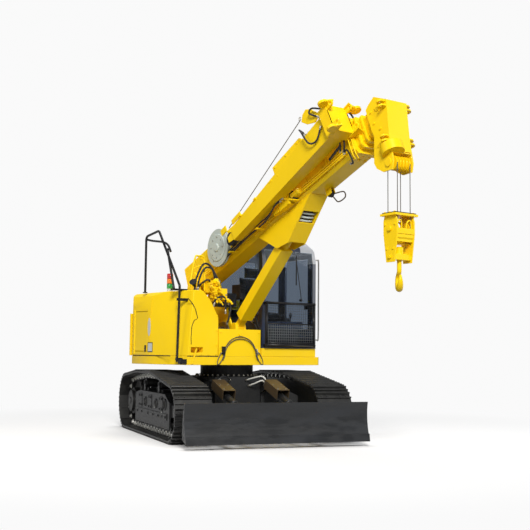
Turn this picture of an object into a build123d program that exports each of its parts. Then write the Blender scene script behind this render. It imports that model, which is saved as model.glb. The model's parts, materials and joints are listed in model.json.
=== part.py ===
from build123d import *
import os
from math import asin, atan2, cos, degrees, hypot, pi, radians, sin, sqrt

# Telescopic crawler crane, full size, in millimetres. The front of the undercarriage faces -Y,
# +Z is up, and the origin lies on the ground under the slewing centre.

os.makedirs("parts", exist_ok=True)

# Running clearances
SEAT = 0.3
PIN_GAP = 2.0
MOVE_GAP = 8.0
PANEL_GAP = 6.0

# Undercarriage
GAUGE = 1990
SHOE_WIDTH = 500
TUMBLER_DISTANCE = 2700
LINK_PITCH = 175.5
LINK_HALF_HEIGHT = 45
SHOE_PLATE = 12
GROUSER = 23
IDLER_PITCH_RADIUS = 310
SPROCKET_PITCH_RADIUS = 350
CARRIER_RADIUS = 66
CARRIER_Z = 735
ROLLER_RADIUS = 75
FRAME_WIDTH = 300
FRAME_TOP = 620
DECK_BOTTOM = 1020
PEDESTAL_RADIUS = 390

# Blade
BLADE_WIDTH = 2490
BLADE_BOTTOM = 60
BLADE_TOP = 568
BLADE_FRONT = -2230
BLADE_PIVOT_Y = -760
BLADE_PIVOT_Z = 420
ARM_X = 640
BLADE_CYLINDER_X = 390

# Superstructure, in its own frame before it is slewed
SLEW = 15
HALF_WIDTH = 1240
FRONT = -700
TAIL_RADIUS = 1400
DECK_TOP = 1140
HOUSE_TOP = 2050
HOUSE_INNER = -600
CAB_RIGHT = 140
CAB_LEFT = 1130
CAB_FRONT = -700
CAB_REAR = 760
CAB_FLOOR = 1265
CAB_TOP = 2930
PANEL = 40

# Boom, lifted about its foot pin
LUFF = 22
BOOM_X = -200
BOOM_PIVOT_Y = 350
BOOM_PIVOT_Z = 2280
BOOM_BELOW_PIN = 150
BASE_WIDTH = 340
BASE_HEIGHT = 450
BASE_FRONT = 3960
BASE_TAIL = 220
SECTION_WALL = 10
SECTION_STEP = 50
NOSE_STEP = 85
SECTION_COUNT = 4
LUFF_FOOT_Y = -600
LUFF_FOOT_Z = 1560
LUFF_HEAD_U = 2346
LUFF_HEAD_V = -333
LUFF_COVER_LENGTH = 1520

# Head and hook
SHEAVE_AHEAD = 68
SHEAVE_U = BASE_FRONT + SECTION_COUNT * NOSE_STEP + SHEAVE_AHEAD
SHEAVE_V = -560
SHEAVE_RADIUS = 88
HEAD_SHEAVES = 5
SHEAVE_GROOVE = 14
ROPE_RADIUS = 5
FALL_SPACING = 200
BLOCK_DROP = 770

UPPER = Location((0, 0, 0), (0, 0, SLEW))
BOOM = UPPER * Location((BOOM_X, BOOM_PIVOT_Y, BOOM_PIVOT_Z), (-LUFF, 0, 0))


def side(frame, x):
    """Plane for side views: sketch x runs rearward, sketch y up, extrusion towards +X."""
    return Plane(frame * Plane.YZ.offset(x).location)


def front(frame, y):
    """Plane for front views: sketch x runs to the left-hand side, extrusion forward, to -Y."""
    return Plane(frame * Plane.XZ.offset(-y).location)


def top(frame, z):
    """Plane for plan views: extrusion upward."""
    return Plane(frame * Plane.XY.offset(z).location)


GROUND = Location((0, 0, 0))


def box_between(frame, low, high, mode=Mode.ADD):
    """A block between two corners given in a frame."""
    with BuildSketch(top(frame, low[2])) as profile:
        with Locations(((low[0] + high[0]) / 2, (low[1] + high[1]) / 2)):
            Rectangle(high[0] - low[0], high[1] - low[1])
    extrude(profile.sketch, amount=high[2] - low[2], mode=mode)


def disc(plane, centre, radius, thickness, mode=Mode.ADD):
    """A round bar that stands on a plane."""
    with BuildSketch(plane) as profile:
        with Locations(centre):
            Circle(radius)
    extrude(profile.sketch, amount=thickness, mode=mode)


def outline(plane, points, thickness, mode=Mode.ADD, inset=0):
    """A plate from a closed outline, moved inward by the inset."""
    with BuildSketch(plane) as profile:
        with BuildLine():
            Polyline(*points, close=True)
        make_face()
        if inset:
            offset(amount=-inset, kind=Kind.INTERSECTION, mode=Mode.REPLACE)
    extrude(profile.sketch, amount=thickness, mode=mode)


def lining(points, depth):
    """The outline of a plate on the inner side of a line of points, with mitred corners."""
    facing = []
    for (y1, z1), (y2, z2) in zip(points, points[1:]):
        run = hypot(y2 - y1, z2 - z1)
        facing.append(((z1 - z2) / run, (y2 - y1) / run))
    inner = []
    for i, (y, z) in enumerate(points):
        a, b = facing[max(i - 1, 0)], facing[min(i, len(facing) - 1)]
        share = depth / (1 + a[0] * b[0] + a[1] * b[1])
        inner.append((y + (a[0] + b[0]) * share, z + (a[1] + b[1]) * share))
    return points + inner[::-1]


def tube(frame, points, radius, bend):
    """A bent tube along corner points given in a frame."""
    corners = [placed(frame, p) for p in points]
    with BuildLine() as route:
        if len(corners) > 2:
            FilletPolyline(*corners, radius=bend)
        else:
            Line(*corners)
    path = route.wire()
    with BuildSketch(Plane(path @ 0, z_dir=path % 0)) as section:
        Circle(radius)
    sweep(section.sketch, path=path)


def placed(frame, point):
    """A point given in a frame, in the machine's own frame."""
    return (frame * Location(point)).position


# Track path: pitch circles, front idler first, then rear sprocket and the two carrier rollers
IDLER_Z = GROUSER + SHOE_PLATE + LINK_HALF_HEIGHT + IDLER_PITCH_RADIUS
SPROCKET_Z = GROUSER + SHOE_PLATE + LINK_HALF_HEIGHT + SPROCKET_PITCH_RADIUS
IDLER_TREAD = IDLER_PITCH_RADIUS - LINK_HALF_HEIGHT - 3
FLANGE = 14
TOOTH_TIP = SPROCKET_PITCH_RADIUS + 4
FRAME_FRONT = -TUMBLER_DISTANCE / 2 + IDLER_TREAD + FLANGE + 14
FRAME_REAR = TUMBLER_DISTANCE / 2 - TOOTH_TIP - 16
CARRIER_Y = (FRAME_FRONT + 760, FRAME_REAR - 420)
BELT = [
    (-TUMBLER_DISTANCE / 2, IDLER_Z, IDLER_PITCH_RADIUS),
    (TUMBLER_DISTANCE / 2, SPROCKET_Z, SPROCKET_PITCH_RADIUS),
    (CARRIER_Y[1], CARRIER_Z, CARRIER_RADIUS + LINK_HALF_HEIGHT + 5),
    (CARRIER_Y[0], CARRIER_Z, CARRIER_RADIUS + LINK_HALF_HEIGHT + 5),
]


def belt_pieces(circles):
    """Straight runs and arcs of a belt round circles: (length, start y, start z, heading, radius)."""
    count = len(circles)
    headings = []
    for i, (y1, z1, r1) in enumerate(circles):
        y2, z2, r2 = circles[(i + 1) % count]
        headings.append(atan2(z2 - z1, y2 - y1) + asin((r1 - r2) / hypot(y2 - y1, z2 - z1)))
    pieces = []
    for i, (y1, z1, r1) in enumerate(circles):
        y2, z2, r2 = circles[(i + 1) % count]
        a = headings[i]
        start = (y1 + r1 * sin(a), z1 - r1 * cos(a))
        end = (y2 + r2 * sin(a), z2 - r2 * cos(a))
        pieces.append((hypot(end[0] - start[0], end[1] - start[1]), *start, a, 0))
        turn = (headings[(i + 1) % count] - a) % (2 * pi)
        pieces.append((turn * r2, *end, a, r2))
    return pieces


def belt_point(pieces, s):
    """The point and heading at a distance along the belt."""
    s %= sum(piece[0] for piece in pieces)
    for length, y, z, a, r in pieces:
        if s <= length:
            break
        s -= length
    if r == 0:
        return y + s * cos(a), z + s * sin(a), a
    b = a + s / r
    return y + r * (sin(b) - sin(a)), z - r * (cos(b) - cos(a)), b


BELT_PIECES = belt_pieces(BELT)
BELT_LENGTH = sum(piece[0] for piece in BELT_PIECES)
SHOE_COUNT = round(BELT_LENGTH / LINK_PITCH)
PITCH = BELT_LENGTH / SHOE_COUNT

# Shoe outline: share of the pitch ahead of the shoe's middle, height above the pitch line
PLATE_LOW = LINK_HALF_HEIGHT
PLATE_HIGH = LINK_HALF_HEIGHT + SHOE_PLATE
GROUSER_TOP = PLATE_HIGH + GROUSER
SHOE = [
    (-0.47, PLATE_LOW),
    (-0.46, GROUSER_TOP),
    (-0.38, GROUSER_TOP),
    (-0.34, PLATE_HIGH),
    (-0.07, PLATE_HIGH),
    (-0.04, GROUSER_TOP),
    (0.03, GROUSER_TOP),
    (0.06, PLATE_HIGH),
    (0.31, PLATE_HIGH),
    (0.34, GROUSER_TOP),
    (0.41, GROUSER_TOP),
    (0.47, PLATE_LOW),
]


def shoe_points(profile):
    """Each shoe's outline as a rigid plate round the belt, in one list."""
    points = []
    for i in range(SHOE_COUNT):
        y, z, a = belt_point(BELT_PIECES, (i + 0.5) * PITCH)
        for along, height in profile:
            points.append(
                (
                    y + along * PITCH * cos(a) + height * sin(a),
                    z + along * PITCH * sin(a) - height * cos(a),
                )
            )
    return points


def joint_points(height):
    """One point at each link joint, midway between the ends of its two rigid links."""
    ends = shoe_points([(-0.5, height), (0.5, height)])
    points = []
    for i in range(SHOE_COUNT):
        (y1, z1), (y2, z2) = ends[2 * i - 1], ends[2 * i]
        points.append(((y1 + y2) / 2, (z1 + z2) / 2))
    return points


BAND = 8
LINK_ROWS = (-62, 62)
LINK_THICKNESS = 34
SIDES = (("right", -1), ("left", 1))


def belt_ring(x, outer, inner, width):
    """A closed ring between two outlines of the belt, from one plane over a width."""
    face = Face(
        Wire.make_polygon([(x, y, z) for y, z in outer]),
        [Wire.make_polygon([(x, y, z) for y, z in inner])],
    )
    extrude(face, amount=width, dir=(1, 0, 0))


with BuildPart() as track_right:
    belt_ring(-GAUGE / 2 - SHOE_WIDTH / 2, shoe_points(SHOE), joint_points(PLATE_LOW - BAND), SHOE_WIDTH)
    for row in LINK_ROWS:
        belt_ring(
            -GAUGE / 2 + row - LINK_THICKNESS / 2,
            joint_points(PLATE_LOW - BAND / 2),
            joint_points(-LINK_HALF_HEIGHT),
            LINK_THICKNESS,
        )
track_right.part.label = "track_right"
export_step(track_right.part, "parts/track_right.step")

with BuildPart() as track_left:
    add(mirror(track_right.part, about=Plane.YZ, mode=Mode.PRIVATE))
track_left.part.label = "track_left"
export_step(track_left.part, "parts/track_left.step")

RAIL_TOP = GROUSER + SHOE_PLATE + 2 * LINK_HALF_HEIGHT
ROLLER_Z = RAIL_TOP + ROLLER_RADIUS + SEAT
ROLLER_COUNT = 7
ROLLER_SPAN = FRAME_REAR - FRAME_FRONT - 240
ROLLER_HALF = 90

# Track frames: a long inverted channel over the rollers, with the idler's yoke in front and the
# final drive's plate behind
SKIRT = 22
YOKE_HALF = 106
YOKE = 26
AXLE_RADIUS = 38
CARRIER_EAR = 104
CARRIER_EAR_WIDTH = 18
CARRIER_AXLE = 20

for name, sign in SIDES:
    middle = sign * GAUGE / 2
    with BuildPart() as track_frame:
        with BuildSketch(side(GROUND, middle - FRAME_WIDTH / 2)):
            with BuildLine():
                Polyline(
                    (FRAME_FRONT, ROLLER_Z - 45),
                    (FRAME_REAR, ROLLER_Z - 45),
                    (FRAME_REAR, FRAME_TOP - 40),
                    (FRAME_REAR - 300, FRAME_TOP),
                    (FRAME_FRONT + 260, FRAME_TOP),
                    (FRAME_FRONT, FRAME_TOP - 110),
                    close=True,
                )
            make_face()
        extrude(amount=FRAME_WIDTH)
        with BuildSketch(front(GROUND, FRAME_REAR + 10)):
            with Locations((middle, (ROLLER_Z - 60 + ROLLER_Z + 115) / 2)):
                Rectangle(FRAME_WIDTH - 2 * SKIRT, 175)
        extrude(amount=FRAME_REAR - FRAME_FRONT + 20, mode=Mode.SUBTRACT)
        for edge in (-1, 1):
            inner = middle + edge * YOKE_HALF - YOKE / 2
            outline(
                side(GROUND, inner),
                [
                    (FRAME_FRONT + 30, ROLLER_Z + 125),
                    (FRAME_FRONT + 30, FRAME_TOP - 125),
                    (-TUMBLER_DISTANCE / 2 - 90, IDLER_Z + 60),
                    (-TUMBLER_DISTANCE / 2 - 90, IDLER_Z - 60),
                ],
                YOKE,
            )
        disc(
            side(GROUND, middle - YOKE_HALF - YOKE),
            (-TUMBLER_DISTANCE / 2, IDLER_Z),
            AXLE_RADIUS + SEAT,
            2 * (YOKE_HALF + YOKE),
            Mode.SUBTRACT,
        )
        drive_inner = middle - sign * FRAME_WIDTH / 2
        drive_plane = side(GROUND, min(drive_inner, drive_inner + sign * 40))
        outline(
            drive_plane,
            [
                (FRAME_REAR - 60, ROLLER_Z + 20),
                (TUMBLER_DISTANCE / 2 + 60, SPROCKET_Z - 215),
                (TUMBLER_DISTANCE / 2 + 190, SPROCKET_Z - 60),
                (TUMBLER_DISTANCE / 2 + 190, SPROCKET_Z + 60),
                (TUMBLER_DISTANCE / 2 + 60, SPROCKET_Z + 215),
                (FRAME_REAR - 60, FRAME_TOP - 60),
            ],
            40,
        )
        for y in CARRIER_Y:
            box_between(
                GROUND,
                (middle - 55, y - 45, FRAME_TOP - 30),
                (middle + 55, y + 45, CARRIER_Z - CARRIER_RADIUS - 12),
            )
            for edge in (-1, 1):
                outline(
                    side(GROUND, middle + edge * CARRIER_EAR - CARRIER_EAR_WIDTH / 2),
                    [
                        (y - 55, FRAME_TOP - 20),
                        (y + 55, FRAME_TOP - 20),
                        (y + 34, CARRIER_Z + 34),
                        (y - 34, CARRIER_Z + 34),
                    ],
                    CARRIER_EAR_WIDTH,
                )
            disc(
                side(GROUND, middle - FRAME_WIDTH / 2),
                (y, CARRIER_Z),
                CARRIER_AXLE + SEAT,
                FRAME_WIDTH,
                Mode.SUBTRACT,
            )
    track_frame.part.label = "track_frame_" + name
    export_step(track_frame.part, "parts/track_frame_" + name + ".step")

ROLLER_AXLE = 25
ROLLER_CLEAR = 4

with BuildPart() as track_rollers_right:
    middle = -GAUGE / 2
    for i in range(ROLLER_COUNT):
        y = (i / (ROLLER_COUNT - 1) - 0.5) * ROLLER_SPAN
        for x, radius, width in (
            (-ROLLER_HALF, ROLLER_RADIUS, 2 * ROLLER_HALF),
            (-34, ROLLER_RADIUS + FLANGE, 68),
            (-FRAME_WIDTH / 2 + SKIRT + SEAT, ROLLER_AXLE, FRAME_WIDTH - 2 * SKIRT - 2 * SEAT),
        ):
            disc(side(GROUND, middle + x), (y, ROLLER_Z), radius, width)
track_rollers_right.part.label = "track_rollers_right"
export_step(track_rollers_right.part, "parts/track_rollers_right.step")

with BuildPart() as track_rollers_left:
    add(mirror(track_rollers_right.part, about=Plane.YZ, mode=Mode.PRIVATE))
track_rollers_left.part.label = "track_rollers_left"
export_step(track_rollers_left.part, "parts/track_rollers_left.step")

# Carrier rollers under the upper run, both sides
with BuildPart() as carrier_rollers:
    for name, sign in SIDES:
        middle = sign * GAUGE / 2
        for y in CARRIER_Y:
            half = CARRIER_EAR - CARRIER_EAR_WIDTH / 2 - ROLLER_CLEAR
            disc(side(GROUND, middle - half), (y, CARRIER_Z), CARRIER_RADIUS, 2 * half)
            reach = CARRIER_EAR + CARRIER_EAR_WIDTH / 2 + 8
            disc(side(GROUND, middle - reach), (y, CARRIER_Z), CARRIER_AXLE, 2 * reach)
carrier_rollers.part.label = "carrier_rollers"
export_step(carrier_rollers.part, "parts/carrier_rollers.step")

# Front idlers
IDLER_HALF = YOKE_HALF - YOKE / 2 - 6

with BuildPart() as idler_right:
    middle = -GAUGE / 2
    centre = (-TUMBLER_DISTANCE / 2, IDLER_Z)
    disc(side(GROUND, middle - IDLER_HALF), centre, IDLER_TREAD, 2 * IDLER_HALF)
    disc(side(GROUND, middle - 38), centre, IDLER_TREAD + FLANGE, 76)
    for x in (-IDLER_HALF, 38):
        with BuildSketch(side(GROUND, middle + x)):
            with Locations(centre):
                Circle(IDLER_TREAD - 45)
                Circle(AXLE_RADIUS + 42, mode=Mode.SUBTRACT)
        extrude(amount=IDLER_HALF - 38, mode=Mode.SUBTRACT)
    disc(side(GROUND, middle - YOKE_HALF - YOKE), centre, AXLE_RADIUS, 2 * (YOKE_HALF + YOKE))
idler_right.part.label = "idler_right"
export_step(idler_right.part, "parts/idler_right.step")

with BuildPart() as idler_left:
    add(mirror(idler_right.part, about=Plane.YZ, mode=Mode.PRIVATE))
idler_left.part.label = "idler_left"
export_step(idler_left.part, "parts/idler_left.step")

# Drive sprockets, each with its final drive's drum
SPROCKET_TEETH = 21
SPROCKET_WIDTH = 56
TOOTH_ROOT = SPROCKET_PITCH_RADIUS - 40
DRUM_RADIUS = 205

with BuildPart() as sprocket_right:
    middle = -GAUGE / 2
    centre = (TUMBLER_DISTANCE / 2, SPROCKET_Z)
    teeth = []
    for i in range(SPROCKET_TEETH):
        for share, radius in ((-0.32, TOOTH_ROOT), (-0.12, TOOTH_TIP), (0.12, TOOTH_TIP), (0.32, TOOTH_ROOT)):
            a = 2 * pi * (i + share) / SPROCKET_TEETH
            teeth.append((centre[0] + radius * cos(a), centre[1] + radius * sin(a)))
    outline(side(GROUND, middle - SPROCKET_WIDTH / 2), teeth, SPROCKET_WIDTH)
    inner = middle + FRAME_WIDTH / 2 - 40 - SEAT
    disc(side(GROUND, middle - 105), centre, DRUM_RADIUS, inner - middle + 105)
    disc(side(GROUND, middle - 150), centre, DRUM_RADIUS - 40, 60)
sprocket_right.part.label = "sprocket_right"
export_step(sprocket_right.part, "parts/sprocket_right.step")

with BuildPart() as sprocket_left:
    add(mirror(sprocket_right.part, about=Plane.YZ, mode=Mode.PRIVATE))
sprocket_left.part.label = "sprocket_left"
export_step(sprocket_left.part, "parts/sprocket_left.step")

# Centre frame: a box under the slewing bearing, four lofted legs to the track frames, lugs for
# the blade's arms and cylinders
CENTRE_HALF = 520
CENTRE_LOW = 430
CENTRE_HIGH = 850
FRAME_INNER = GAUGE / 2 - FRAME_WIDTH / 2
LEG_Y = FRAME_REAR - 390
LUG = 34
PIN_RADIUS = 30
EYE_RADIUS = 66
ARM_WIDTH = 90
BLADE_LIFT_Y = -700
BLADE_LIFT_Z = 735
LIFT_EYE = 48
LIFT_EYE_WIDTH = 50
LIFT_PIN = 22

with BuildPart() as centre_frame:
    with BuildSketch(top(GROUND, CENTRE_LOW)):
        Rectangle(2 * CENTRE_HALF, 2 * CENTRE_HALF)
        chamfer(vertices(), 180)
    extrude(amount=CENTRE_HIGH - CENTRE_LOW)
    for sx in (-1, 1):
        for sy in (-1, 1):
            with BuildSketch(side(GROUND, sx * 360)) as root:
                with Locations((sy * 330, (CENTRE_LOW + CENTRE_HIGH) / 2 + 10)):
                    Rectangle(330, CENTRE_HIGH - CENTRE_LOW - 60)
            with BuildSketch(side(GROUND, sx * (FRAME_INNER - SEAT))) as toe:
                with Locations((sy * LEG_Y, 470)):
                    Rectangle(330, 230)
            loft(sections=[root.sketch, toe.sketch])
    disc(top(GROUND, CENTRE_HIGH), (0, 0), PEDESTAL_RADIUS, DECK_BOTTOM - SEAT - CENTRE_HIGH)
    for sx in (-1, 1):
        box_between(
            GROUND,
            (sx * ARM_X - 120, -CENTRE_HALF - 60, BLADE_PIVOT_Z - 60),
            (sx * ARM_X + 120, -330, BLADE_PIVOT_Z + 90),
        )
        for edge in (-1, 1):
            x = sx * ARM_X + edge * (ARM_WIDTH / 2 + PIN_GAP + LUG / 2)
            with BuildSketch(side(GROUND, x - LUG / 2)) as lug:
                with BuildLine():
                    Polyline(
                        (BLADE_PIVOT_Y, BLADE_PIVOT_Z - EYE_RADIUS),
                        (-CENTRE_HALF, BLADE_PIVOT_Z - EYE_RADIUS),
                        (-CENTRE_HALF, BLADE_PIVOT_Z + EYE_RADIUS + 30),
                        (BLADE_PIVOT_Y, BLADE_PIVOT_Z + EYE_RADIUS),
                        close=True,
                    )
                make_face()
                with Locations((BLADE_PIVOT_Y, BLADE_PIVOT_Z)):
                    Circle(EYE_RADIUS)
            extrude(lug.sketch, amount=LUG)
        disc(
            side(GROUND, sx * ARM_X - ARM_WIDTH / 2 - LUG - PIN_GAP),
            (BLADE_PIVOT_Y, BLADE_PIVOT_Z),
            PIN_RADIUS,
            ARM_WIDTH + 2 * LUG + 2 * PIN_GAP,
        )
        for edge in (-1, 1):
            x = sx * BLADE_CYLINDER_X + edge * (LIFT_EYE_WIDTH / 2 + PIN_GAP + 12)
            with BuildSketch(side(GROUND, x - 12)) as ear:
                with BuildLine():
                    Polyline(
                        (BLADE_LIFT_Y - 20, BLADE_LIFT_Z - LIFT_EYE),
                        (-CENTRE_HALF + 140, BLADE_LIFT_Z - 150),
                        (-CENTRE_HALF + 200, CENTRE_HIGH - 40),
                        (BLADE_LIFT_Y, BLADE_LIFT_Z + LIFT_EYE),
                        close=True,
                    )
                make_face()
                with Locations((BLADE_LIFT_Y, BLADE_LIFT_Z)):
                    Circle(LIFT_EYE)
            extrude(ear.sketch, amount=24)
        disc(
            side(GROUND, sx * BLADE_CYLINDER_X - LIFT_EYE_WIDTH / 2 - PIN_GAP - 24),
            (BLADE_LIFT_Y, BLADE_LIFT_Z),
            LIFT_PIN,
            LIFT_EYE_WIDTH + 2 * PIN_GAP + 48,
        )
centre_frame.part.label = "centre_frame"
export_step(centre_frame.part, "parts/centre_frame.step")

# Blade: a concave mouldboard on two arms
BLADE_PLATE = 16
BLADE_HINGE_Y = -1985
BLADE_HINGE_Z = 400
MOULD_LEAN = 80

with BuildPart() as blade:
    with BuildSketch(side(GROUND, -BLADE_WIDTH / 2)):
        with BuildLine():
            face_line = ThreePointArc(
                (BLADE_FRONT, BLADE_BOTTOM + 40),
                (BLADE_FRONT + 62, (BLADE_BOTTOM + BLADE_TOP) / 2),
                (BLADE_FRONT + MOULD_LEAN - 30, BLADE_TOP),
            )
            Line(face_line @ 1, (BLADE_FRONT + MOULD_LEAN, BLADE_TOP))
            back_line = ThreePointArc(
                (BLADE_FRONT + MOULD_LEAN, BLADE_TOP),
                (BLADE_FRONT + 62 + 2 * BLADE_PLATE, (BLADE_BOTTOM + BLADE_TOP) / 2 + 20),
                (BLADE_FRONT + 70, BLADE_BOTTOM + 30),
            )
            Line(back_line @ 1, face_line @ 0)
        make_face()
    extrude(amount=BLADE_WIDTH)
    outline(
        side(GROUND, -BLADE_WIDTH / 2),
        [
            (BLADE_FRONT - 18, BLADE_BOTTOM),
            (BLADE_FRONT + 4, BLADE_BOTTOM),
            (BLADE_FRONT + 20, BLADE_BOTTOM + 100),
            (BLADE_FRONT, BLADE_BOTTOM + 100),
        ],
        BLADE_WIDTH,
    )
    outline(
        side(GROUND, -BLADE_WIDTH / 2 + 60),
        [
            (BLADE_FRONT + 60, BLADE_BOTTOM + 60),
            (BLADE_FRONT + 190, BLADE_BOTTOM + 90),
            (BLADE_FRONT + 190, BLADE_BOTTOM + 250),
            (BLADE_FRONT + 70, BLADE_BOTTOM + 330),
        ],
        BLADE_WIDTH - 120,
    )
    for sx in (-1, 1):
        x = sx * (BLADE_WIDTH / 2 - 10)
        outline(
            side(GROUND, x - 10),
            [
                (BLADE_FRONT + 2, BLADE_BOTTOM + 20),
                (BLADE_FRONT + 150, BLADE_BOTTOM + 60),
                (BLADE_FRONT + 150, BLADE_BOTTOM + 260),
                (BLADE_FRONT + MOULD_LEAN + 10, BLADE_TOP),
                (BLADE_FRONT + 64, BLADE_TOP),
                (BLADE_FRONT + 70, BLADE_BOTTOM + 240),
            ],
            20,
        )
        outline(
            side(GROUND, sx * ARM_X - ARM_WIDTH / 2),
            [
                (BLADE_FRONT + 120, BLADE_BOTTOM + 90),
                (BLADE_FRONT + 420, BLADE_BOTTOM + 110),
                (BLADE_PIVOT_Y, BLADE_PIVOT_Z - EYE_RADIUS),
                (BLADE_PIVOT_Y, BLADE_PIVOT_Z + EYE_RADIUS),
                (BLADE_FRONT + 420, BLADE_BOTTOM + 310),
                (BLADE_FRONT + 120, BLADE_BOTTOM + 330),
            ],
            ARM_WIDTH,
        )
        disc(side(GROUND, sx * ARM_X - ARM_WIDTH / 2), (BLADE_PIVOT_Y, BLADE_PIVOT_Z), EYE_RADIUS, ARM_WIDTH)
        disc(
            side(GROUND, sx * ARM_X - ARM_WIDTH / 2),
            (BLADE_PIVOT_Y, BLADE_PIVOT_Z),
            PIN_RADIUS + SEAT,
            ARM_WIDTH,
            Mode.SUBTRACT,
        )
        for edge in (-1, 1):
            x = sx * BLADE_CYLINDER_X + edge * (LIFT_EYE_WIDTH / 2 + PIN_GAP + 11)
            outline(
                side(GROUND, x - 11),
                [
                    (BLADE_FRONT + 60, BLADE_HINGE_Z - 90),
                    (BLADE_HINGE_Y + 30, BLADE_HINGE_Z - 50),
                    (BLADE_HINGE_Y + 45, BLADE_HINGE_Z + 20),
                    (BLADE_HINGE_Y, BLADE_HINGE_Z + 55),
                    (BLADE_FRONT + 84, BLADE_HINGE_Z + 60),
                ],
                22,
            )
blade.part.label = "blade"
export_step(blade.part, "parts/blade.step")

# Blade lift cylinders: barrels pinned to the centre frame, rods to the blade
LIFT_DY = BLADE_HINGE_Y - BLADE_LIFT_Y
LIFT_DZ = BLADE_HINGE_Z - BLADE_LIFT_Z
LIFT_LENGTH = hypot(LIFT_DY, LIFT_DZ)
LIFT_SLOPE = degrees(atan2(LIFT_DZ, -LIFT_DY))
LIFT_BARREL = 860
LIFT_BARREL_RADIUS = 50
LIFT_ROD_RADIUS = 27
LIFT_NECK = LIFT_EYE + 2 * MOVE_GAP

for name, sign in SIDES:
    x = sign * BLADE_CYLINDER_X
    lift = Location((x, BLADE_LIFT_Y, BLADE_LIFT_Z), (-LIFT_SLOPE, 0, 0))
    with BuildPart() as barrel:
        disc(side(lift, -LIFT_EYE_WIDTH / 2), (0, 0), LIFT_EYE, LIFT_EYE_WIDTH)
        box_between(lift, (-22, -LIFT_NECK - 5, -30), (22, 0, 30))
        disc(front(lift, -LIFT_NECK), (0, 0), LIFT_BARREL_RADIUS, LIFT_BARREL - LIFT_NECK)
        disc(front(lift, -LIFT_NECK - 20), (0, 0), LIFT_ROD_RADIUS + SEAT, LIFT_BARREL, Mode.SUBTRACT)
        disc(side(lift, -LIFT_EYE_WIDTH / 2), (0, 0), LIFT_PIN + SEAT, LIFT_EYE_WIDTH, Mode.SUBTRACT)
    barrel.part.label = "blade_barrel_" + name
    export_step(barrel.part, "parts/blade_barrel_" + name + ".step")
    with BuildPart() as rod:
        disc(front(lift, -LIFT_NECK - 140), (0, 0), LIFT_ROD_RADIUS, LIFT_LENGTH - LIFT_NECK - 160)
        disc(side(lift, -LIFT_EYE_WIDTH / 2), (-LIFT_LENGTH, 0), LIFT_EYE - 8, LIFT_EYE_WIDTH)
        pin = LIFT_EYE_WIDTH + 2 * PIN_GAP - 1
        disc(side(lift, -pin / 2), (-LIFT_LENGTH, 0), LIFT_PIN, pin)
    rod.part.label = "blade_rod_" + name
    export_step(rod.part, "parts/blade_rod_" + name + ".step")


# Superstructure: deck with its skirt, on the slewing bearing
FRONT_CORNER = 60
SKIRT_WALL = 30
DECK_PLATE = 40
SPINE_HALF = 520


def deck_outline(inset):
    """Plan outline of the superstructure: straight front and sides, round tail."""
    half = HALF_WIDTH - inset
    radius = TAIL_RADIUS - inset
    flat = sqrt(radius**2 - half**2)
    nose = FRONT + inset
    Polyline(
        (-half, flat),
        (-half, nose + FRONT_CORNER),
        (-half + FRONT_CORNER, nose),
        (half - FRONT_CORNER, nose),
        (half, nose + FRONT_CORNER),
        (half, flat),
    )
    ThreePointArc((half, flat), (0, radius), (-half, flat))


# The right-hand side turns inward ahead of a leaning line, on the deck and on the housing
TURN_FOOT = (-HALF_WIDTH, -113, DECK_BOTTOM)
TURN_HEAD = (-HALF_WIDTH, 166, DECK_BOTTOM + 720)
TURN_NOSE = (-HALF_WIDTH + 140, FRONT, DECK_BOTTOM)
FAR = 4000


def turned_side(gap):
    """Plane of the turned-in side, moved outward by the gap, with its Z outward."""
    foot, head, nose = (Vector(*corner) for corner in (TURN_FOOT, TURN_HEAD, TURN_NOSE))
    outward = (nose - foot).cross(head - foot)
    if outward.X > 0:
        outward = outward * -1
    local = Plane(foot + outward.normalized() * gap, x_dir=nose - foot, z_dir=outward)
    return Plane(UPPER * local.location)


def cut_side():
    """Cuts what stands outside the turned-in side."""
    with BuildSketch(turned_side(0)) as half_space:
        Rectangle(FAR, FAR)
    extrude(half_space.sketch, amount=HALF_WIDTH, mode=Mode.SUBTRACT)


with BuildPart() as deck:
    with BuildSketch(top(UPPER, DECK_BOTTOM)):
        with BuildLine():
            deck_outline(0)
        make_face()
    extrude(amount=DECK_TOP - DECK_BOTTOM)
    with BuildSketch(top(UPPER, DECK_BOTTOM)):
        with BuildLine():
            deck_outline(SKIRT_WALL)
        make_face()
        with Locations((-HALF_WIDTH, FRONT)):
            corner_width = 2 * (TURN_NOSE[0] + HALF_WIDTH + SKIRT_WALL + 20)
            Rectangle(corner_width, 2 * (TURN_FOOT[1] - FRONT), mode=Mode.SUBTRACT)
        with Locations((0, 150)):
            Rectangle(2 * SPINE_HALF, 2600, mode=Mode.SUBTRACT)
    extrude(amount=DECK_TOP - DECK_BOTTOM - DECK_PLATE, mode=Mode.SUBTRACT)
    cut_side()
deck.part.label = "deck"
export_step(deck.part, "parts/deck.step")

KNUCKLE = 9
KNUCKLE_REACH = 24


def hinge_ends(x, y, low, high):
    """The body's two knuckles at the ends of an upright door hinge."""
    for z in (low - KNUCKLE_REACH, high - MOVE_GAP + SEAT):
        disc(top(UPPER, z), (x, y), KNUCKLE, KNUCKLE_REACH + MOVE_GAP - SEAT)


# Counterweight round the tail, with the ends of the hood's hinge
HOUSE_FLOOR = DECK_TOP + SEAT
CW_FRONT = 1130
CW_TOP = 1760
CW_ROUND = 50
HOOD_LOW = CW_TOP + PANEL_GAP
HOOD_REAR = 1250
HOOD_HINGE_X = (-400, 400)
HOOD_LEAF = 60

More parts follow.
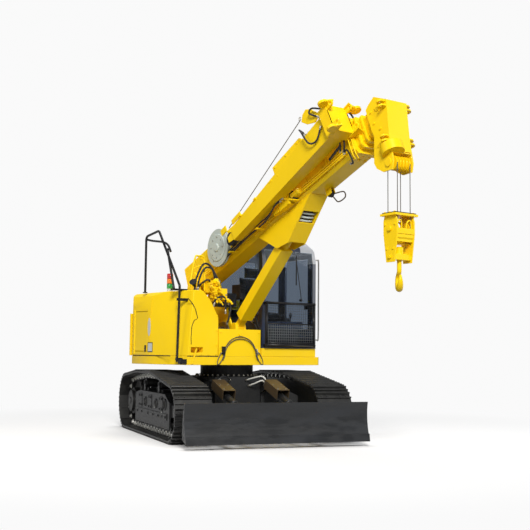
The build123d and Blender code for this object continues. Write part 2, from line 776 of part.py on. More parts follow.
with BuildPart() as counterweight:
    with BuildSketch(top(UPPER, HOUSE_FLOOR)):
        with BuildLine():
            reach = sqrt(TAIL_RADIUS**2 - CW_FRONT**2)
            ThreePointArc((reach, CW_FRONT), (0, TAIL_RADIUS), (-reach, CW_FRONT))
            Line((-reach, CW_FRONT), (reach, CW_FRONT))
        make_face()
    extrude(amount=CW_TOP - HOUSE_FLOOR)
    chamfer(counterweight.edges().group_by(Axis.Z)[-1].filter_by(GeomType.CIRCLE), CW_ROUND)
    for x in HOOD_HINGE_X:
        for near in (x - HOOD_LEAF - SEAT - 30, x + HOOD_LEAF + SEAT):
            box_between(
                UPPER,
                (near, HOOD_REAR + 2, CW_TOP - 5),
                (near + 30, HOOD_REAR + 2 * KNUCKLE, HOOD_LOW + KNUCKLE),
            )
            disc(side(UPPER, near), (HOOD_REAR + KNUCKLE, HOOD_LOW + KNUCKLE), KNUCKLE, 30)
counterweight.part.label = "counterweight"
export_step(counterweight.part, "parts/counterweight.step")

# Engine, one plain block behind the boom's foot
HOOD_FRONT = CAB_REAR + 2 * PANEL_GAP
with BuildPart() as engine:
    box_between(UPPER, (-450, HOOD_FRONT + 45, HOUSE_FLOOR), (450, CW_FRONT - 15, 1700))
engine.part.label = "engine"
export_step(engine.part, "parts/engine.step")

# Right-hand housing: tank and tool box with a sloped inner shoulder, step recess in front
HOUSE_REAR = 120
SHOULDER = [
    (HOUSE_INNER, HOUSE_FLOOR),
    (HOUSE_INNER, 1680),
    (HOUSE_INNER - 130, 1910),
    (HOUSE_INNER - 250, HOUSE_TOP - 10),
    (HOUSE_INNER - 290, HOUSE_TOP),
    (-HALF_WIDTH + 110, HOUSE_TOP),
    (-HALF_WIDTH + 40, HOUSE_TOP - 50),
    (-HALF_WIDTH, HOUSE_TOP - 190),
    (-HALF_WIDTH, HOUSE_FLOOR),
]

with BuildPart() as right_housing:
    outline(front(UPPER, HOUSE_REAR), SHOULDER, HOUSE_REAR - FRONT)
    box_between(UPPER, (-1040, FRONT - 5, 1190), (-850, FRONT + 140, 1260), Mode.SUBTRACT)
    cut_side()
right_housing.part.label = "right_housing"
export_step(right_housing.part, "parts/right_housing.step")

# Side compartment behind it: a shell with a door in its right-hand wall
SIDE_FRONT = HOUSE_REAR + SEAT
WALL = 30
SIDE_DOOR = ((190, 600), (1200, 1780))
SIDE_REAR = 630
SIDE_HINGE_Y = SIDE_DOOR[0][1] - MOVE_GAP - KNUCKLE

with BuildPart() as side_compartment:
    outline(front(UPPER, HOOD_FRONT - PANEL_GAP), SHOULDER, HOOD_FRONT - PANEL_GAP - SIDE_FRONT)
    box_between(
        UPPER,
        (-HALF_WIDTH + PANEL, SIDE_FRONT + WALL, HOUSE_FLOOR - 1),
        (HOUSE_INNER - WALL, SIDE_REAR, 1640),
        Mode.SUBTRACT,
    )
    box_between(
        UPPER,
        (-HALF_WIDTH + PANEL, SIDE_FRONT + WALL, 1600),
        (HOUSE_INNER - 290, SIDE_REAR, HOUSE_TOP - 220),
        Mode.SUBTRACT,
    )
    box_between(
        UPPER,
        (-HALF_WIDTH + 110, SIDE_FRONT + WALL, 1600),
        (HOUSE_INNER - 290, SIDE_REAR, HOUSE_TOP - 60),
        Mode.SUBTRACT,
    )
    box_between(
        UPPER,
        (-HALF_WIDTH - 10, SIDE_DOOR[0][0], SIDE_DOOR[1][0]),
        (-HALF_WIDTH + PANEL + 10, SIDE_DOOR[0][1], SIDE_DOOR[1][1]),
        Mode.SUBTRACT,
    )
    with BuildSketch(top(UPPER, HOUSE_FLOOR)) as plan:
        with BuildLine():
            deck_outline(0)
        make_face()
    extrude(plan.sketch, amount=HOUSE_TOP - HOUSE_FLOOR, mode=Mode.INTERSECT)
    cut_side()
    hinge_ends(-HALF_WIDTH, SIDE_HINGE_Y, *SIDE_DOOR[1])
side_compartment.part.label = "side_compartment"
export_step(side_compartment.part, "parts/side_compartment.step")

with BuildPart() as side_door:
    box_between(
        UPPER,
        (-HALF_WIDTH, SIDE_DOOR[0][0] + MOVE_GAP, SIDE_DOOR[1][0] + MOVE_GAP),
        (-HALF_WIDTH + PANEL, SIDE_DOOR[0][1] - MOVE_GAP, SIDE_DOOR[1][1] - MOVE_GAP),
    )
    disc(
        top(UPPER, SIDE_DOOR[1][0] + MOVE_GAP),
        (-HALF_WIDTH, SIDE_HINGE_Y),
        KNUCKLE,
        SIDE_DOOR[1][1] - SIDE_DOOR[1][0] - 2 * MOVE_GAP,
    )
side_door.part.label = "side_door"
export_step(side_door.part, "parts/side_door.step")

# Engine walls under the hood, from the side compartment and the cab round to the counterweight
WALL_TOP = CW_TOP
with BuildPart() as engine_walls:
    with BuildSketch(top(UPPER, HOUSE_FLOOR)):
        with BuildLine():
            deck_outline(0)
        make_face()
        with BuildLine():
            deck_outline(WALL)
        make_face(mode=Mode.SUBTRACT)
        with Locations((0, HOOD_FRONT - FAR / 2), (0, CW_FRONT - SEAT + FAR / 2)):
            Rectangle(FAR, FAR, mode=Mode.SUBTRACT)
        with Locations((0, HOOD_FRONT + WALL / 2)):
            Rectangle(2 * HALF_WIDTH - 60, WALL)
    extrude(amount=WALL_TOP - HOUSE_FLOOR)
engine_walls.part.label = "engine_walls"
export_step(engine_walls.part, "parts/engine_walls.step")

# Hood over the engine, hinged at its rear edge
HOOD_TOP = 2040
HOOD_HALF = 1080

with BuildPart() as engine_hood:
    for inset, low, mode in ((0, HOOD_LOW, Mode.ADD), (WALL, HOOD_LOW - 1, Mode.SUBTRACT)):
        with BuildSketch(top(UPPER, low)) as plan:
            with BuildLine():
                reach = sqrt((TAIL_RADIUS - 30 - inset) ** 2 - (HOOD_FRONT + inset) ** 2)
                reach = min(reach, HOOD_HALF - inset)
                tail = sqrt((TAIL_RADIUS - 30 - inset) ** 2 - reach**2)
                ThreePointArc((reach, tail), (0, TAIL_RADIUS - 30 - inset), (-reach, tail))
                brow = HOOD_FRONT + inset
                Polyline((-reach, tail), (-reach, brow), (reach, brow), (reach, tail))
            make_face()
            with Locations((0, HOOD_REAR - inset + FAR / 2)):
                Rectangle(FAR, FAR, mode=Mode.SUBTRACT)
        extrude(plan.sketch, amount=HOOD_TOP - inset - low, taper=14, mode=mode)
    for x in HOOD_HINGE_X:
        box_between(
            UPPER,
            (x - HOOD_LEAF, HOOD_REAR - WALL / 2, HOOD_LOW),
            (x + HOOD_LEAF, HOOD_REAR + KNUCKLE, HOOD_LOW + KNUCKLE),
        )
        disc(side(UPPER, x - HOOD_LEAF), (HOOD_REAR + KNUCKLE, HOOD_LOW + KNUCKLE), KNUCKLE, 2 * HOOD_LEAF)
engine_hood.part.label = "engine_hood"
export_step(engine_hood.part, "parts/engine_hood.step")

# Cab: base panel, hollow shell with its window openings, door, glass, guard, seat
CAB_WALL = 40
CAB_OUTER = [
    (CAB_FRONT, CAB_FLOOR),
    (CAB_FRONT, 2560),
    (CAB_FRONT + 50, 2760),
    (CAB_FRONT + 170, 2880),
    (CAB_FRONT + 340, CAB_TOP),
    (CAB_REAR - 220, CAB_TOP),
    (CAB_REAR - 70, 2890),
    (CAB_REAR, 2780),
    (CAB_REAR, CAB_FLOOR),
]
CAB_SECTION = [
    (CAB_RIGHT, CAB_FLOOR),
    (CAB_RIGHT, CAB_TOP - 90),
    (CAB_RIGHT + 60, CAB_TOP),
    (CAB_LEFT - 210, CAB_TOP),
    (CAB_LEFT - 80, CAB_TOP - 70),
    (CAB_LEFT, CAB_TOP - 210),
    (CAB_LEFT, CAB_FLOOR),
]


DOOR = ((CAB_FRONT + 70, 110), (CAB_FLOOR + 25, 2700))
FRONT_WINDOW = ((CAB_RIGHT + 60, CAB_LEFT - 60), (CAB_FLOOR + 50, 2700))
RIGHT_WINDOW = ((CAB_FRONT + 90, CAB_REAR - 90), (1720, 2660))
REAR_SIDE_WINDOW = ((DOOR[0][1] + 90, CAB_REAR - 90), (1820, 2640))
REAR_WINDOW = ((CAB_RIGHT + 110, CAB_LEFT - 110), (1880, 2650))
ROOF_WINDOW = ((CAB_RIGHT + 160, CAB_LEFT - 280), (CAB_FRONT + 420, CAB_FRONT + 980))

with BuildPart() as cab_base:
    box_between(UPPER, (CAB_RIGHT, CAB_FRONT, HOUSE_FLOOR), (CAB_LEFT, CAB_REAR, CAB_FLOOR - SEAT))
cab_base.part.label = "cab_base"
export_step(cab_base.part, "parts/cab_base.step")

with BuildPart() as cab_room:
    outline(side(UPPER, CAB_RIGHT), CAB_OUTER, CAB_LEFT - CAB_RIGHT, inset=CAB_WALL)
    outline(front(UPPER, CAB_REAR), CAB_SECTION, CAB_REAR - CAB_FRONT, Mode.INTERSECT, CAB_WALL)

with BuildPart() as cab_shell:
    outline(side(UPPER, CAB_RIGHT), CAB_OUTER, CAB_LEFT - CAB_RIGHT)
    outline(front(UPPER, CAB_REAR), CAB_SECTION, CAB_REAR - CAB_FRONT, Mode.INTERSECT)
    add(cab_room.part, mode=Mode.SUBTRACT)
    (x1, x2), (z1, z2) = FRONT_WINDOW
    box_between(UPPER, (x1, CAB_FRONT - 5, z1), (x2, CAB_FRONT + 2 * CAB_WALL, z2), Mode.SUBTRACT)
    (y1, y2), (z1, z2) = DOOR
    box_between(UPPER, (CAB_LEFT - CAB_WALL - 5, y1, z1), (CAB_LEFT + 5, y2, z2), Mode.SUBTRACT)
    (y1, y2), (z1, z2) = REAR_SIDE_WINDOW
    box_between(UPPER, (CAB_LEFT - CAB_WALL - 5, y1, z1), (CAB_LEFT + 5, y2, z2), Mode.SUBTRACT)
    (y1, y2), (z1, z2) = RIGHT_WINDOW
    box_between(UPPER, (CAB_RIGHT - 5, y1, z1), (CAB_RIGHT + CAB_WALL + 5, y2, z2), Mode.SUBTRACT)
    (x1, x2), (z1, z2) = REAR_WINDOW
    box_between(UPPER, (x1, CAB_REAR - CAB_WALL - 5, z1), (x2, CAB_REAR + 5, z2), Mode.SUBTRACT)
    (x1, x2), (y1, y2) = ROOF_WINDOW
    box_between(UPPER, (x1, y1, CAB_TOP - CAB_WALL - 5), (x2, y2, CAB_TOP + 5), Mode.SUBTRACT)
    hinge_ends(CAB_LEFT, DOOR[0][1] - MOVE_GAP - KNUCKLE, *DOOR[1])
cab_shell.part.label = "cab_shell"
export_step(cab_shell.part, "parts/cab_shell.step")

# Panes stand in the middle of the walls, a seat's gap from the openings
GLASS = 6
with BuildPart() as cab_glass:
    side_windows = ((REAR_SIDE_WINDOW, CAB_LEFT), (RIGHT_WINDOW, CAB_RIGHT + CAB_WALL))
    for ((a1, a2), (z1, z2)), x in side_windows:
        pane = x - CAB_WALL / 2
        box_between(
            UPPER, (pane - GLASS / 2, a1 + SEAT, z1 + SEAT), (pane + GLASS / 2, a2 - SEAT, z2 - SEAT)
        )
    end_windows = ((FRONT_WINDOW, CAB_FRONT + CAB_WALL), (REAR_WINDOW, CAB_REAR))
    for ((a1, a2), (z1, z2)), y in end_windows:
        pane = y - CAB_WALL / 2
        box_between(
            UPPER, (a1 + SEAT, pane - GLASS / 2, z1 + SEAT), (a2 - SEAT, pane + GLASS / 2, z2 - SEAT)
        )
    (x1, x2), (y1, y2) = ROOF_WINDOW
    pane = CAB_TOP - CAB_WALL / 2
    box_between(
        UPPER, (x1 + SEAT, y1 + SEAT, pane - GLASS / 2), (x2 - SEAT, y2 - SEAT, pane + GLASS / 2)
    )
cab_glass.part.label = "cab_glass"
export_step(cab_glass.part, "parts/cab_glass.step")

DOOR_RAIL = 70
DOOR_SILL = 1560
with BuildPart() as cab_door:
    (y1, y2), (z1, z2) = DOOR
    y1, y2, z1, z2 = y1 + MOVE_GAP, y2 - MOVE_GAP, z1 + MOVE_GAP, z2 - MOVE_GAP
    box_between(UPPER, (CAB_LEFT - CAB_WALL, y1, z1), (CAB_LEFT, y2, z2))
    box_between(
        UPPER,
        (CAB_LEFT - CAB_WALL - 5, y1 + DOOR_RAIL, DOOR_SILL),
        (CAB_LEFT + 5, y2 - DOOR_RAIL, z2 - DOOR_RAIL),
        Mode.SUBTRACT,
    )
    disc(top(UPPER, z1), (CAB_LEFT, y2 - KNUCKLE), KNUCKLE, z2 - z1)
cab_door.part.label = "cab_door"
export_step(cab_door.part, "parts/cab_door.step")

with BuildPart() as door_glass:
    pane = CAB_LEFT - CAB_WALL / 2
    box_between(
        UPPER,
        (pane - GLASS / 2, y1 + DOOR_RAIL + SEAT, DOOR_SILL + SEAT),
        (pane + GLASS / 2, y2 - DOOR_RAIL - SEAT, z2 - DOOR_RAIL - SEAT),
    )
door_glass.part.label = "door_glass"
export_step(door_glass.part, "parts/door_glass.step")

SEAT_X = (CAB_RIGHT + CAB_LEFT) / 2 + 20
with BuildPart() as operator_seat:
    box_between(UPPER, (SEAT_X - 200, -60, CAB_FLOOR + CAB_WALL + SEAT), (SEAT_X + 200, 330, 1560))
    box_between(UPPER, (SEAT_X - 250, -120, 1560), (SEAT_X + 250, 380, 1690))
    outline(
        side(UPPER, SEAT_X - 240),
        [(300, 1680), (420, 1680), (520, 2300), (400, 2300)],
        480,
    )
operator_seat.part.label = "operator_seat"
export_step(operator_seat.part, "parts/operator_seat.step")

with BuildPart() as cab_consoles:
    for x in (SEAT_X - 400, SEAT_X + 270):
        box_between(UPPER, (x, -160, CAB_FLOOR + CAB_WALL + SEAT), (x + 120, 330, 1740))
        disc(top(UPPER, 1730), (x + 60, -90), 22, 190)
    foot = CAB_FLOOR + CAB_WALL + SEAT
    box_between(UPPER, (SEAT_X - 260, CAB_FRONT + 140, foot), (SEAT_X + 260, CAB_FRONT + 220, 1560))
cab_consoles.part.label = "cab_consoles"
export_step(cab_consoles.part, "parts/cab_consoles.step")

# Front guard: a frame of bars before the lower windscreen
GUARD_LOW = 1290
GUARD_TOP = 1940
GUARD_X = (CAB_RIGHT + 20, CAB_LEFT - 60)
GUARD_Y = CAB_FRONT - 60
GUARD_BAR = 16
GUARD_FRAME = 40
GUARD_COLUMNS = 12
GUARD_ROWS = 7

with BuildPart() as front_guard:
    x1, x2 = GUARD_X
    box_between(UPPER, (x1, GUARD_Y - GUARD_FRAME / 2, GUARD_LOW), (x2, GUARD_Y + GUARD_FRAME / 2, GUARD_TOP))
    box_between(
        UPPER,
        (x1 + GUARD_FRAME, GUARD_Y - GUARD_FRAME, GUARD_LOW + GUARD_FRAME),
        (x2 - GUARD_FRAME, GUARD_Y + GUARD_FRAME, GUARD_TOP - GUARD_FRAME),
        Mode.SUBTRACT,
    )
    for i in range(1, GUARD_COLUMNS):
        x = x1 + (x2 - x1) * i / GUARD_COLUMNS
        box_between(
            UPPER,
            (x - GUARD_BAR / 2, GUARD_Y - GUARD_BAR / 2, GUARD_LOW + 20),
            (x + GUARD_BAR / 2, GUARD_Y + GUARD_BAR / 2, GUARD_TOP - 20),
        )
    for i in range(1, GUARD_ROWS):
        z = GUARD_LOW + (GUARD_TOP - GUARD_LOW) * i / GUARD_ROWS
        box_between(
            UPPER,
            (x1 + 20, GUARD_Y - GUARD_BAR / 2, z - GUARD_BAR / 2),
            (x2 - 20, GUARD_Y + GUARD_BAR / 2, z + GUARD_BAR / 2),
        )
    for x in (x1, x2 - GUARD_FRAME):
        for z in (GUARD_LOW + 40, GUARD_TOP - 90):
            box_between(UPPER, (x, GUARD_Y, z), (x + GUARD_FRAME, CAB_FRONT - SEAT, z + 40))
front_guard.part.label = "front_guard"
export_step(front_guard.part, "parts/front_guard.step")

# Boom frame: two side plates from the deck to the boom's foot pin, with the front box and the
# ears of the luff cylinder
CHEEK = 30
CHEEK_X = BASE_WIDTH / 2 + MOVE_GAP
BOX_TOP = 1525
FRONT_LEFT = CAB_RIGHT - 20
FRONT_RIGHT = HOUSE_INNER + PANEL_GAP
LUFF_PIN = 35
LUFF_EYE = 62
LUFF_EYE_WIDTH = 110
FOOT_PIN = 45
FOOT_EYE = 120

with BuildPart() as boom_frame:
    for edge in (-1, 1):
        x = BOOM_X + edge * (CHEEK_X + CHEEK / 2)
        with BuildSketch(side(UPPER, x - CHEEK / 2)) as cheek:
            with BuildLine():
                Polyline(
                    (FRONT + 60, HOUSE_FLOOR),
                    (HOOD_FRONT - PANEL_GAP, HOUSE_FLOOR),
                    (BOOM_PIVOT_Y + FOOT_EYE, BOOM_PIVOT_Z),
                    (BOOM_PIVOT_Y - FOOT_EYE, BOOM_PIVOT_Z),
                    (-180, BOX_TOP),
                    (FRONT + 60, BOX_TOP - 60),
                    close=True,
                )
            make_face()
            with Locations((BOOM_PIVOT_Y, BOOM_PIVOT_Z)):
                Circle(FOOT_EYE)
            with Locations((BOOM_PIVOT_Y, BOOM_PIVOT_Z)):
                Circle(FOOT_PIN + SEAT, mode=Mode.SUBTRACT)
        extrude(cheek.sketch, amount=CHEEK)
    box_between(UPPER, (FRONT_RIGHT, FRONT, HOUSE_FLOOR), (FRONT_LEFT, FRONT + 40, BOX_TOP))
    reach = CHEEK_X + 5
    low, high = (BOOM_X - reach, FRONT + 20, HOUSE_FLOOR), (BOOM_X + reach, -420, BOX_TOP - 120)
    box_between(UPPER, low, high)
    for edge in (-1, 1):
        x = BOOM_X + edge * (LUFF_EYE_WIDTH / 2 + PIN_GAP + 15)
        with BuildSketch(side(UPPER, x - 15)) as ear:
            with BuildLine():
                Polyline(
                    (LUFF_FOOT_Y - LUFF_EYE, BOX_TOP - 140),
                    (LUFF_FOOT_Y + 160, BOX_TOP - 140),
                    (LUFF_FOOT_Y + LUFF_EYE, LUFF_FOOT_Z),
                    (LUFF_FOOT_Y - LUFF_EYE, LUFF_FOOT_Z),
                    close=True,
                )
            make_face()
            with Locations((LUFF_FOOT_Y, LUFF_FOOT_Z)):
                Circle(LUFF_EYE)
        extrude(ear.sketch, amount=30)
    half = LUFF_EYE_WIDTH / 2 + PIN_GAP + 30
    disc(side(UPPER, BOOM_X - half), (LUFF_FOOT_Y, LUFF_FOOT_Z), LUFF_PIN, 2 * half)
boom_frame.part.label = "boom_frame"
export_step(boom_frame.part, "parts/boom_frame.step")

# Hoist winch between the side plates
WINCH_Y = 10
WINCH_Z = 1470
WINCH_HALF = 140
with BuildPart() as winch_drum:
    disc(side(UPPER, BOOM_X - WINCH_HALF), (WINCH_Y, WINCH_Z), 110, 2 * WINCH_HALF)
    for x in (-WINCH_HALF, WINCH_HALF - 16):
        disc(side(UPPER, BOOM_X + x), (WINCH_Y, WINCH_Z), 185, 16)
    disc(side(UPPER, BOOM_X - CHEEK_X + SEAT), (WINCH_Y, WINCH_Z), 50, 2 * CHEEK_X - 2 * SEAT)
winch_drum.part.label = "winch_drum"
export_step(winch_drum.part, "parts/winch_drum.step")

# Boom: everything in its own frame, forward along -Y from the foot pin
BASE_LOW = -BOOM_BELOW_PIN
BASE_HIGH = BASE_HEIGHT - BOOM_BELOW_PIN
BASE_MIDDLE = (BASE_LOW + BASE_HIGH) / 2
CORNER = 40
PAD = 60
FLANGE_BAND = 26
WEDGE_HALF = 125
WEDGE_PLATE = 22
WEDGE = [(-2945, BASE_LOW), (-2275, -530), (-2030, -490), (-1700, BASE_LOW)]
LUFF_HEAD = (-LUFF_HEAD_U, LUFF_HEAD_V)


def section_ring(y, width, height, inner_width, inner_height, length):
    """A rectangular tube with cut lower and upper corners, from a plane forward."""
    with BuildSketch(front(BOOM, y)) as ring:
        for w, h, mode in ((width, height, Mode.ADD), (inner_width, inner_height, Mode.SUBTRACT)):
            with BuildLine(mode=Mode.ADD):
                c = min(CORNER, w / 5)
                Polyline(
                    (-w / 2 + c, BASE_MIDDLE - h / 2),
                    (w / 2 - c, BASE_MIDDLE - h / 2),
                    (w / 2, BASE_MIDDLE - h / 2 + c),
                    (w / 2, BASE_MIDDLE + h / 2 - c / 2),
                    (w / 2 - c / 2, BASE_MIDDLE + h / 2),
                    (-w / 2 + c / 2, BASE_MIDDLE + h / 2),
                    (-w / 2, BASE_MIDDLE + h / 2 - c / 2),
                    (-w / 2, BASE_MIDDLE - h / 2 + c),
                    close=True,
                )
            make_face(mode=mode)
    extrude(ring.sketch, amount=length)


def section_size(k):
    """Outer width and height of a boom section, 0 for the base."""
    return BASE_WIDTH - k * SECTION_STEP, BASE_HEIGHT - k * SECTION_STEP


def section_nose(k):
    """How far ahead of the foot pin a retracted section ends."""
    return BASE_FRONT + k * NOSE_STEP


with BuildPart() as boom_base:
    w, h = section_size(0)
    hollow = 2 * SECTION_WALL
    section_ring(BASE_TAIL, w, h, w - hollow, h - hollow, BASE_TAIL + BASE_FRONT)
    w1, h1 = section_size(1)
    section_ring(
        -BASE_FRONT + PAD, w + 2 * FLANGE_BAND, h + 2 * FLANGE_BAND, w1 + 2 * SEAT, h1 + 2 * SEAT, PAD
    )
    box_between(
        BOOM,
        (-BASE_WIDTH / 2 + 2, -90, -90),
        (BASE_WIDTH / 2 - 2, 90, 90),
    )
    disc(side(BOOM, -CHEEK_X - CHEEK), (0, 0), FOOT_PIN, 2 * CHEEK_X + 2 * CHEEK)
    disc(side(BOOM, -CHEEK_X + SEAT), (0, 0), FOOT_PIN + 25, 2 * CHEEK_X - 2 * SEAT)
    for edge in (-1, 1):
        outline(side(BOOM, edge * (WEDGE_HALF + WEDGE_PLATE / 2) - WEDGE_PLATE / 2), WEDGE, WEDGE_PLATE)
    for near, far in ((0.02, 0.35), (0.58, 0.98)):
        (y1, z1), (y2, z2) = WEDGE[0], WEDGE[1]
        outline(
            side(BOOM, -WEDGE_HALF - 2),
            [
                (y1 + (y2 - y1) * near, z1 + (z2 - z1) * near),
                (y1 + (y2 - y1) * far, z1 + (z2 - z1) * far),
                (y1 + (y2 - y1) * far + 7, z1 + (z2 - z1) * far + 12),
                (y1 + (y2 - y1) * near + 7, z1 + (z2 - z1) * near + 12),
            ],
            2 * WEDGE_HALF + 4,
        )
boom_base.part.label = "boom_base"
export_step(boom_base.part, "parts/boom_base.step")

for k in range(1, SECTION_COUNT + 1):
    with BuildPart() as section:
        w, h = section_size(k)
        nose = section_nose(k)
        tail = -120 - 30 * k
        section_ring(tail, w, h, w - 2 * SECTION_WALL, h - 2 * SECTION_WALL, nose + tail)
        outer_w, outer_h = section_size(k - 1)
        section_ring(
            tail,
            outer_w - 2 * SECTION_WALL - 2 * SEAT,
            outer_h - 2 * SECTION_WALL - 2 * SEAT,
            w - SECTION_WALL,
            h - SECTION_WALL,
            PAD,
        )
        if k < SECTION_COUNT:
            next_w, next_h = section_size(k + 1)
            section_ring(
                -nose + PAD / 2,
                w + FLANGE_BAND,
                h + FLANGE_BAND,
                next_w + 2 * SEAT,
                next_h + 2 * SEAT,
                PAD / 2,
            )
    name = "boom_section_" + str(k + 1)
    section.part.label = name
    export_step(section.part, "parts/" + name + ".step")

# Boom head on the last section: side plates, front plate, jib lugs, sheave axle bores
HEAD_END = -section_nose(SECTION_COUNT)
HEAD_HALF = 165
HEAD_PLATE = 22
HEAD_PROFILE = [
    (HEAD_END + 40, 230),
    (HEAD_END - 20, 263),
    (HEAD_END - 139, 303),
    (HEAD_END - 312, 155),
    (HEAD_END - 200, -260),
    (-SHEAVE_U - 75, SHEAVE_V - 20),
    (-SHEAVE_U - 20, SHEAVE_V - 105),
    (-SHEAVE_U + 120, SHEAVE_V - 60),
    (-SHEAVE_U + 200, SHEAVE_V + 30),
    (-SHEAVE_U + 218, SHEAVE_V + 115),
    (HEAD_END + 30, -154),
    (HEAD_END + 40, -60),
]
FRONT_SHARE = 0.58
SHEAVE_PIN = 28
GUIDE_RADIUS = 85
GUIDE_SHEAVE = (HEAD_END - 150, 150)
LUG_REACH = 90
LUG_EYE = 42
LUG_BORE = 20
LUG_PLATE = 22
LUGS = (((-150, -330), (-150, -268)), ((-250, 85), (-250, 147)))
DRUM = (-105, HEAD_END - 130)
COVER_RADIUS = 135
END_PLATE = 20
HEAD_SKIN = 14

with BuildPart() as boom_head:
    w, h = section_size(SECTION_COUNT)
    for edge in (-1, 1):
        outline(side(BOOM, edge * (HEAD_HALF - HEAD_PLATE / 2) - HEAD_PLATE / 2), HEAD_PROFILE, HEAD_PLATE)
        root = edge * (HEAD_HALF - 4)
        tip = edge * (HEAD_HALF + LUG_REACH - LUG_EYE)
        for ahead, z in LUGS[0] + LUGS[1]:
            with BuildSketch(top(BOOM, z - LUG_PLATE / 2)) as lug:
                with Locations(((root + tip) / 2, HEAD_END + ahead)):
                    Rectangle(abs(tip - root), 2 * LUG_EYE)
                with Locations((tip, HEAD_END + ahead)):
                    Circle(LUG_EYE)
                with Locations((tip, HEAD_END + ahead)):
                    Circle(LUG_BORE, mode=Mode.SUBTRACT)
            extrude(lug.sketch, amount=LUG_PLATE)
    half = HEAD_HALF - HEAD_PLATE / 2
    (y1, z1), (y2, z2) = HEAD_PROFILE[4:6]
    chin = (y1 + (y2 - y1) * FRONT_SHARE, z1 + (z2 - z1) * FRONT_SHARE)
    outline(side(BOOM, -half), lining(HEAD_PROFILE[2:5] + [chin], HEAD_SKIN), 2 * half)
    end = -section_nose(SECTION_COUNT) - SEAT
    low, high = BASE_MIDDLE - h / 2, BASE_MIDDLE + h / 2
    box_between(BOOM, (-half, end - END_PLATE, low - 40), (half, end, high + 40))
    section_ring(end + 60, w + 50, h + 50, w + 2 * SEAT, h + 2 * SEAT, 61)
    for z in (low - 30, high + 10):
        box_between(BOOM, (-half, end - 1, z), (half, HEAD_END + 35, z + 20))
    cover_low, cover_high = SHEAVE_V + SHEAVE_RADIUS + MOVE_GAP, LUGS[0][0][1] - LUG_PLATE / 2 - MOVE_GAP
    disc(top(BOOM, cover_low), DRUM, COVER_RADIUS, cover_high - cover_low)
    for y, z in ((-SHEAVE_U, SHEAVE_V), GUIDE_SHEAVE):
        disc(side(BOOM, -HEAD_HALF - 5), (y, z), SHEAVE_PIN + SEAT, 2 * HEAD_HALF + 10, Mode.SUBTRACT)
boom_head.part.label = "boom_head"
export_step(boom_head.part, "parts/boom_head.step")


def sheave(frame, x, y, z, radius):
    """A grooved sheave about an X axis."""
    disc(side(frame, x - 14), (y, z), radius, 5)
    disc(side(frame, x - 9.5), (y, z), radius - SHEAVE_GROOVE, 19)
    disc(side(frame, x + 9), (y, z), radius, 5)


with BuildPart() as head_sheaves:
    for i in range(HEAD_SHEAVES):
        x = (i / (HEAD_SHEAVES - 1) - 0.5) * FALL_SPACING
        sheave(BOOM, x, -SHEAVE_U, SHEAVE_V, SHEAVE_RADIUS)
    disc(side(BOOM, -HEAD_HALF - 8), (-SHEAVE_U, SHEAVE_V), SHEAVE_PIN, 2 * HEAD_HALF + 16)
    sheave(BOOM, 0, *GUIDE_SHEAVE, GUIDE_RADIUS)
    disc(side(BOOM, -HEAD_HALF - 8), GUIDE_SHEAVE, SHEAVE_PIN, 2 * HEAD_HALF + 16)
head_sheaves.part.label = "head_sheaves"
export_step(head_sheaves.part, "parts/head_sheaves.step")

# Luff cylinder: the barrel with its square cover is pinned to the boom frame, the rod's eye
# carries the pin between the wedge's plates
luff_head = (BOOM * Location((0, *LUFF_HEAD))).position
head_local = (UPPER.inverse() * Location((luff_head.X, luff_head.Y, luff_head.Z))).position
LUFF_DY = head_local.Y - LUFF_FOOT_Y
LUFF_DZ = head_local.Z - LUFF_FOOT_Z
LUFF_LENGTH = hypot(LUFF_DY, LUFF_DZ)
LUFF_SLOPE = degrees(atan2(LUFF_DZ, -LUFF_DY))
CYLINDER = UPPER * Location((BOOM_X, LUFF_FOOT_Y, LUFF_FOOT_Z), (-LUFF_SLOPE, 0, 0))
COVER_HALF = 100
COVER_DEPTH = 75
LUFF_BORE = 50
COVER_START = 200

with BuildPart() as luff_barrel:
    disc(side(CYLINDER, -LUFF_EYE_WIDTH / 2), (0, 0), LUFF_EYE, LUFF_EYE_WIDTH)
    box_between(CYLINDER, (-45, -COVER_START - 20, -45), (45, 0, 45))
    box_between(
        CYLINDER, (-COVER_HALF, -LUFF_COVER_LENGTH, -COVER_DEPTH), (COVER_HALF, -COVER_START, COVER_DEPTH)
    )
    disc(front(CYLINDER, -COVER_START - 20), (0, 0), LUFF_BORE + SEAT, LUFF_COVER_LENGTH, Mode.SUBTRACT)
    disc(side(CYLINDER, -LUFF_EYE_WIDTH / 2), (0, 0), LUFF_PIN + SEAT, LUFF_EYE_WIDTH, Mode.SUBTRACT)
luff_barrel.part.label = "luff_barrel"
export_step(luff_barrel.part, "parts/luff_barrel.step")

with BuildPart() as luff_rod:
    disc(front(CYLINDER, -COVER_START - 280), (0, 0), LUFF_BORE, LUFF_LENGTH - COVER_START - 280 - 30)
    disc(side(CYLINDER, -LUFF_EYE_WIDTH / 2), (-LUFF_LENGTH, 0), LUFF_EYE, LUFF_EYE_WIDTH)
    disc(side(CYLINDER, -WEDGE_HALF + SEAT), (-LUFF_LENGTH, 0), LUFF_PIN, 2 * WEDGE_HALF - 2 * SEAT)
luff_rod.part.label = "luff_rod"
export_step(luff_rod.part, "parts/luff_rod.step")

# Hoist falls and hook block, plumb under the head's sheave axle
axle = (BOOM * Location((0, -SHEAVE_U, SHEAVE_V))).position
HANG = Location((axle.X, axle.Y, axle.Z), (0, 0, SLEW))
FALL_RADIUS = SHEAVE_RADIUS - SHEAVE_GROOVE + ROPE_RADIUS + SEAT
BLOCK_AXLE = -BLOCK_DROP

with BuildPart() as hoist_falls:
    for x in (-FALL_SPACING / 2, FALL_SPACING / 2):
        for y in (-FALL_RADIUS, FALL_RADIUS):
            disc(top(HANG, BLOCK_AXLE), (x, y), ROPE_RADIUS, -BLOCK_AXLE)
hoist_falls.part.label = "hoist_falls"
export_step(hoist_falls.part, "parts/hoist_falls.step")

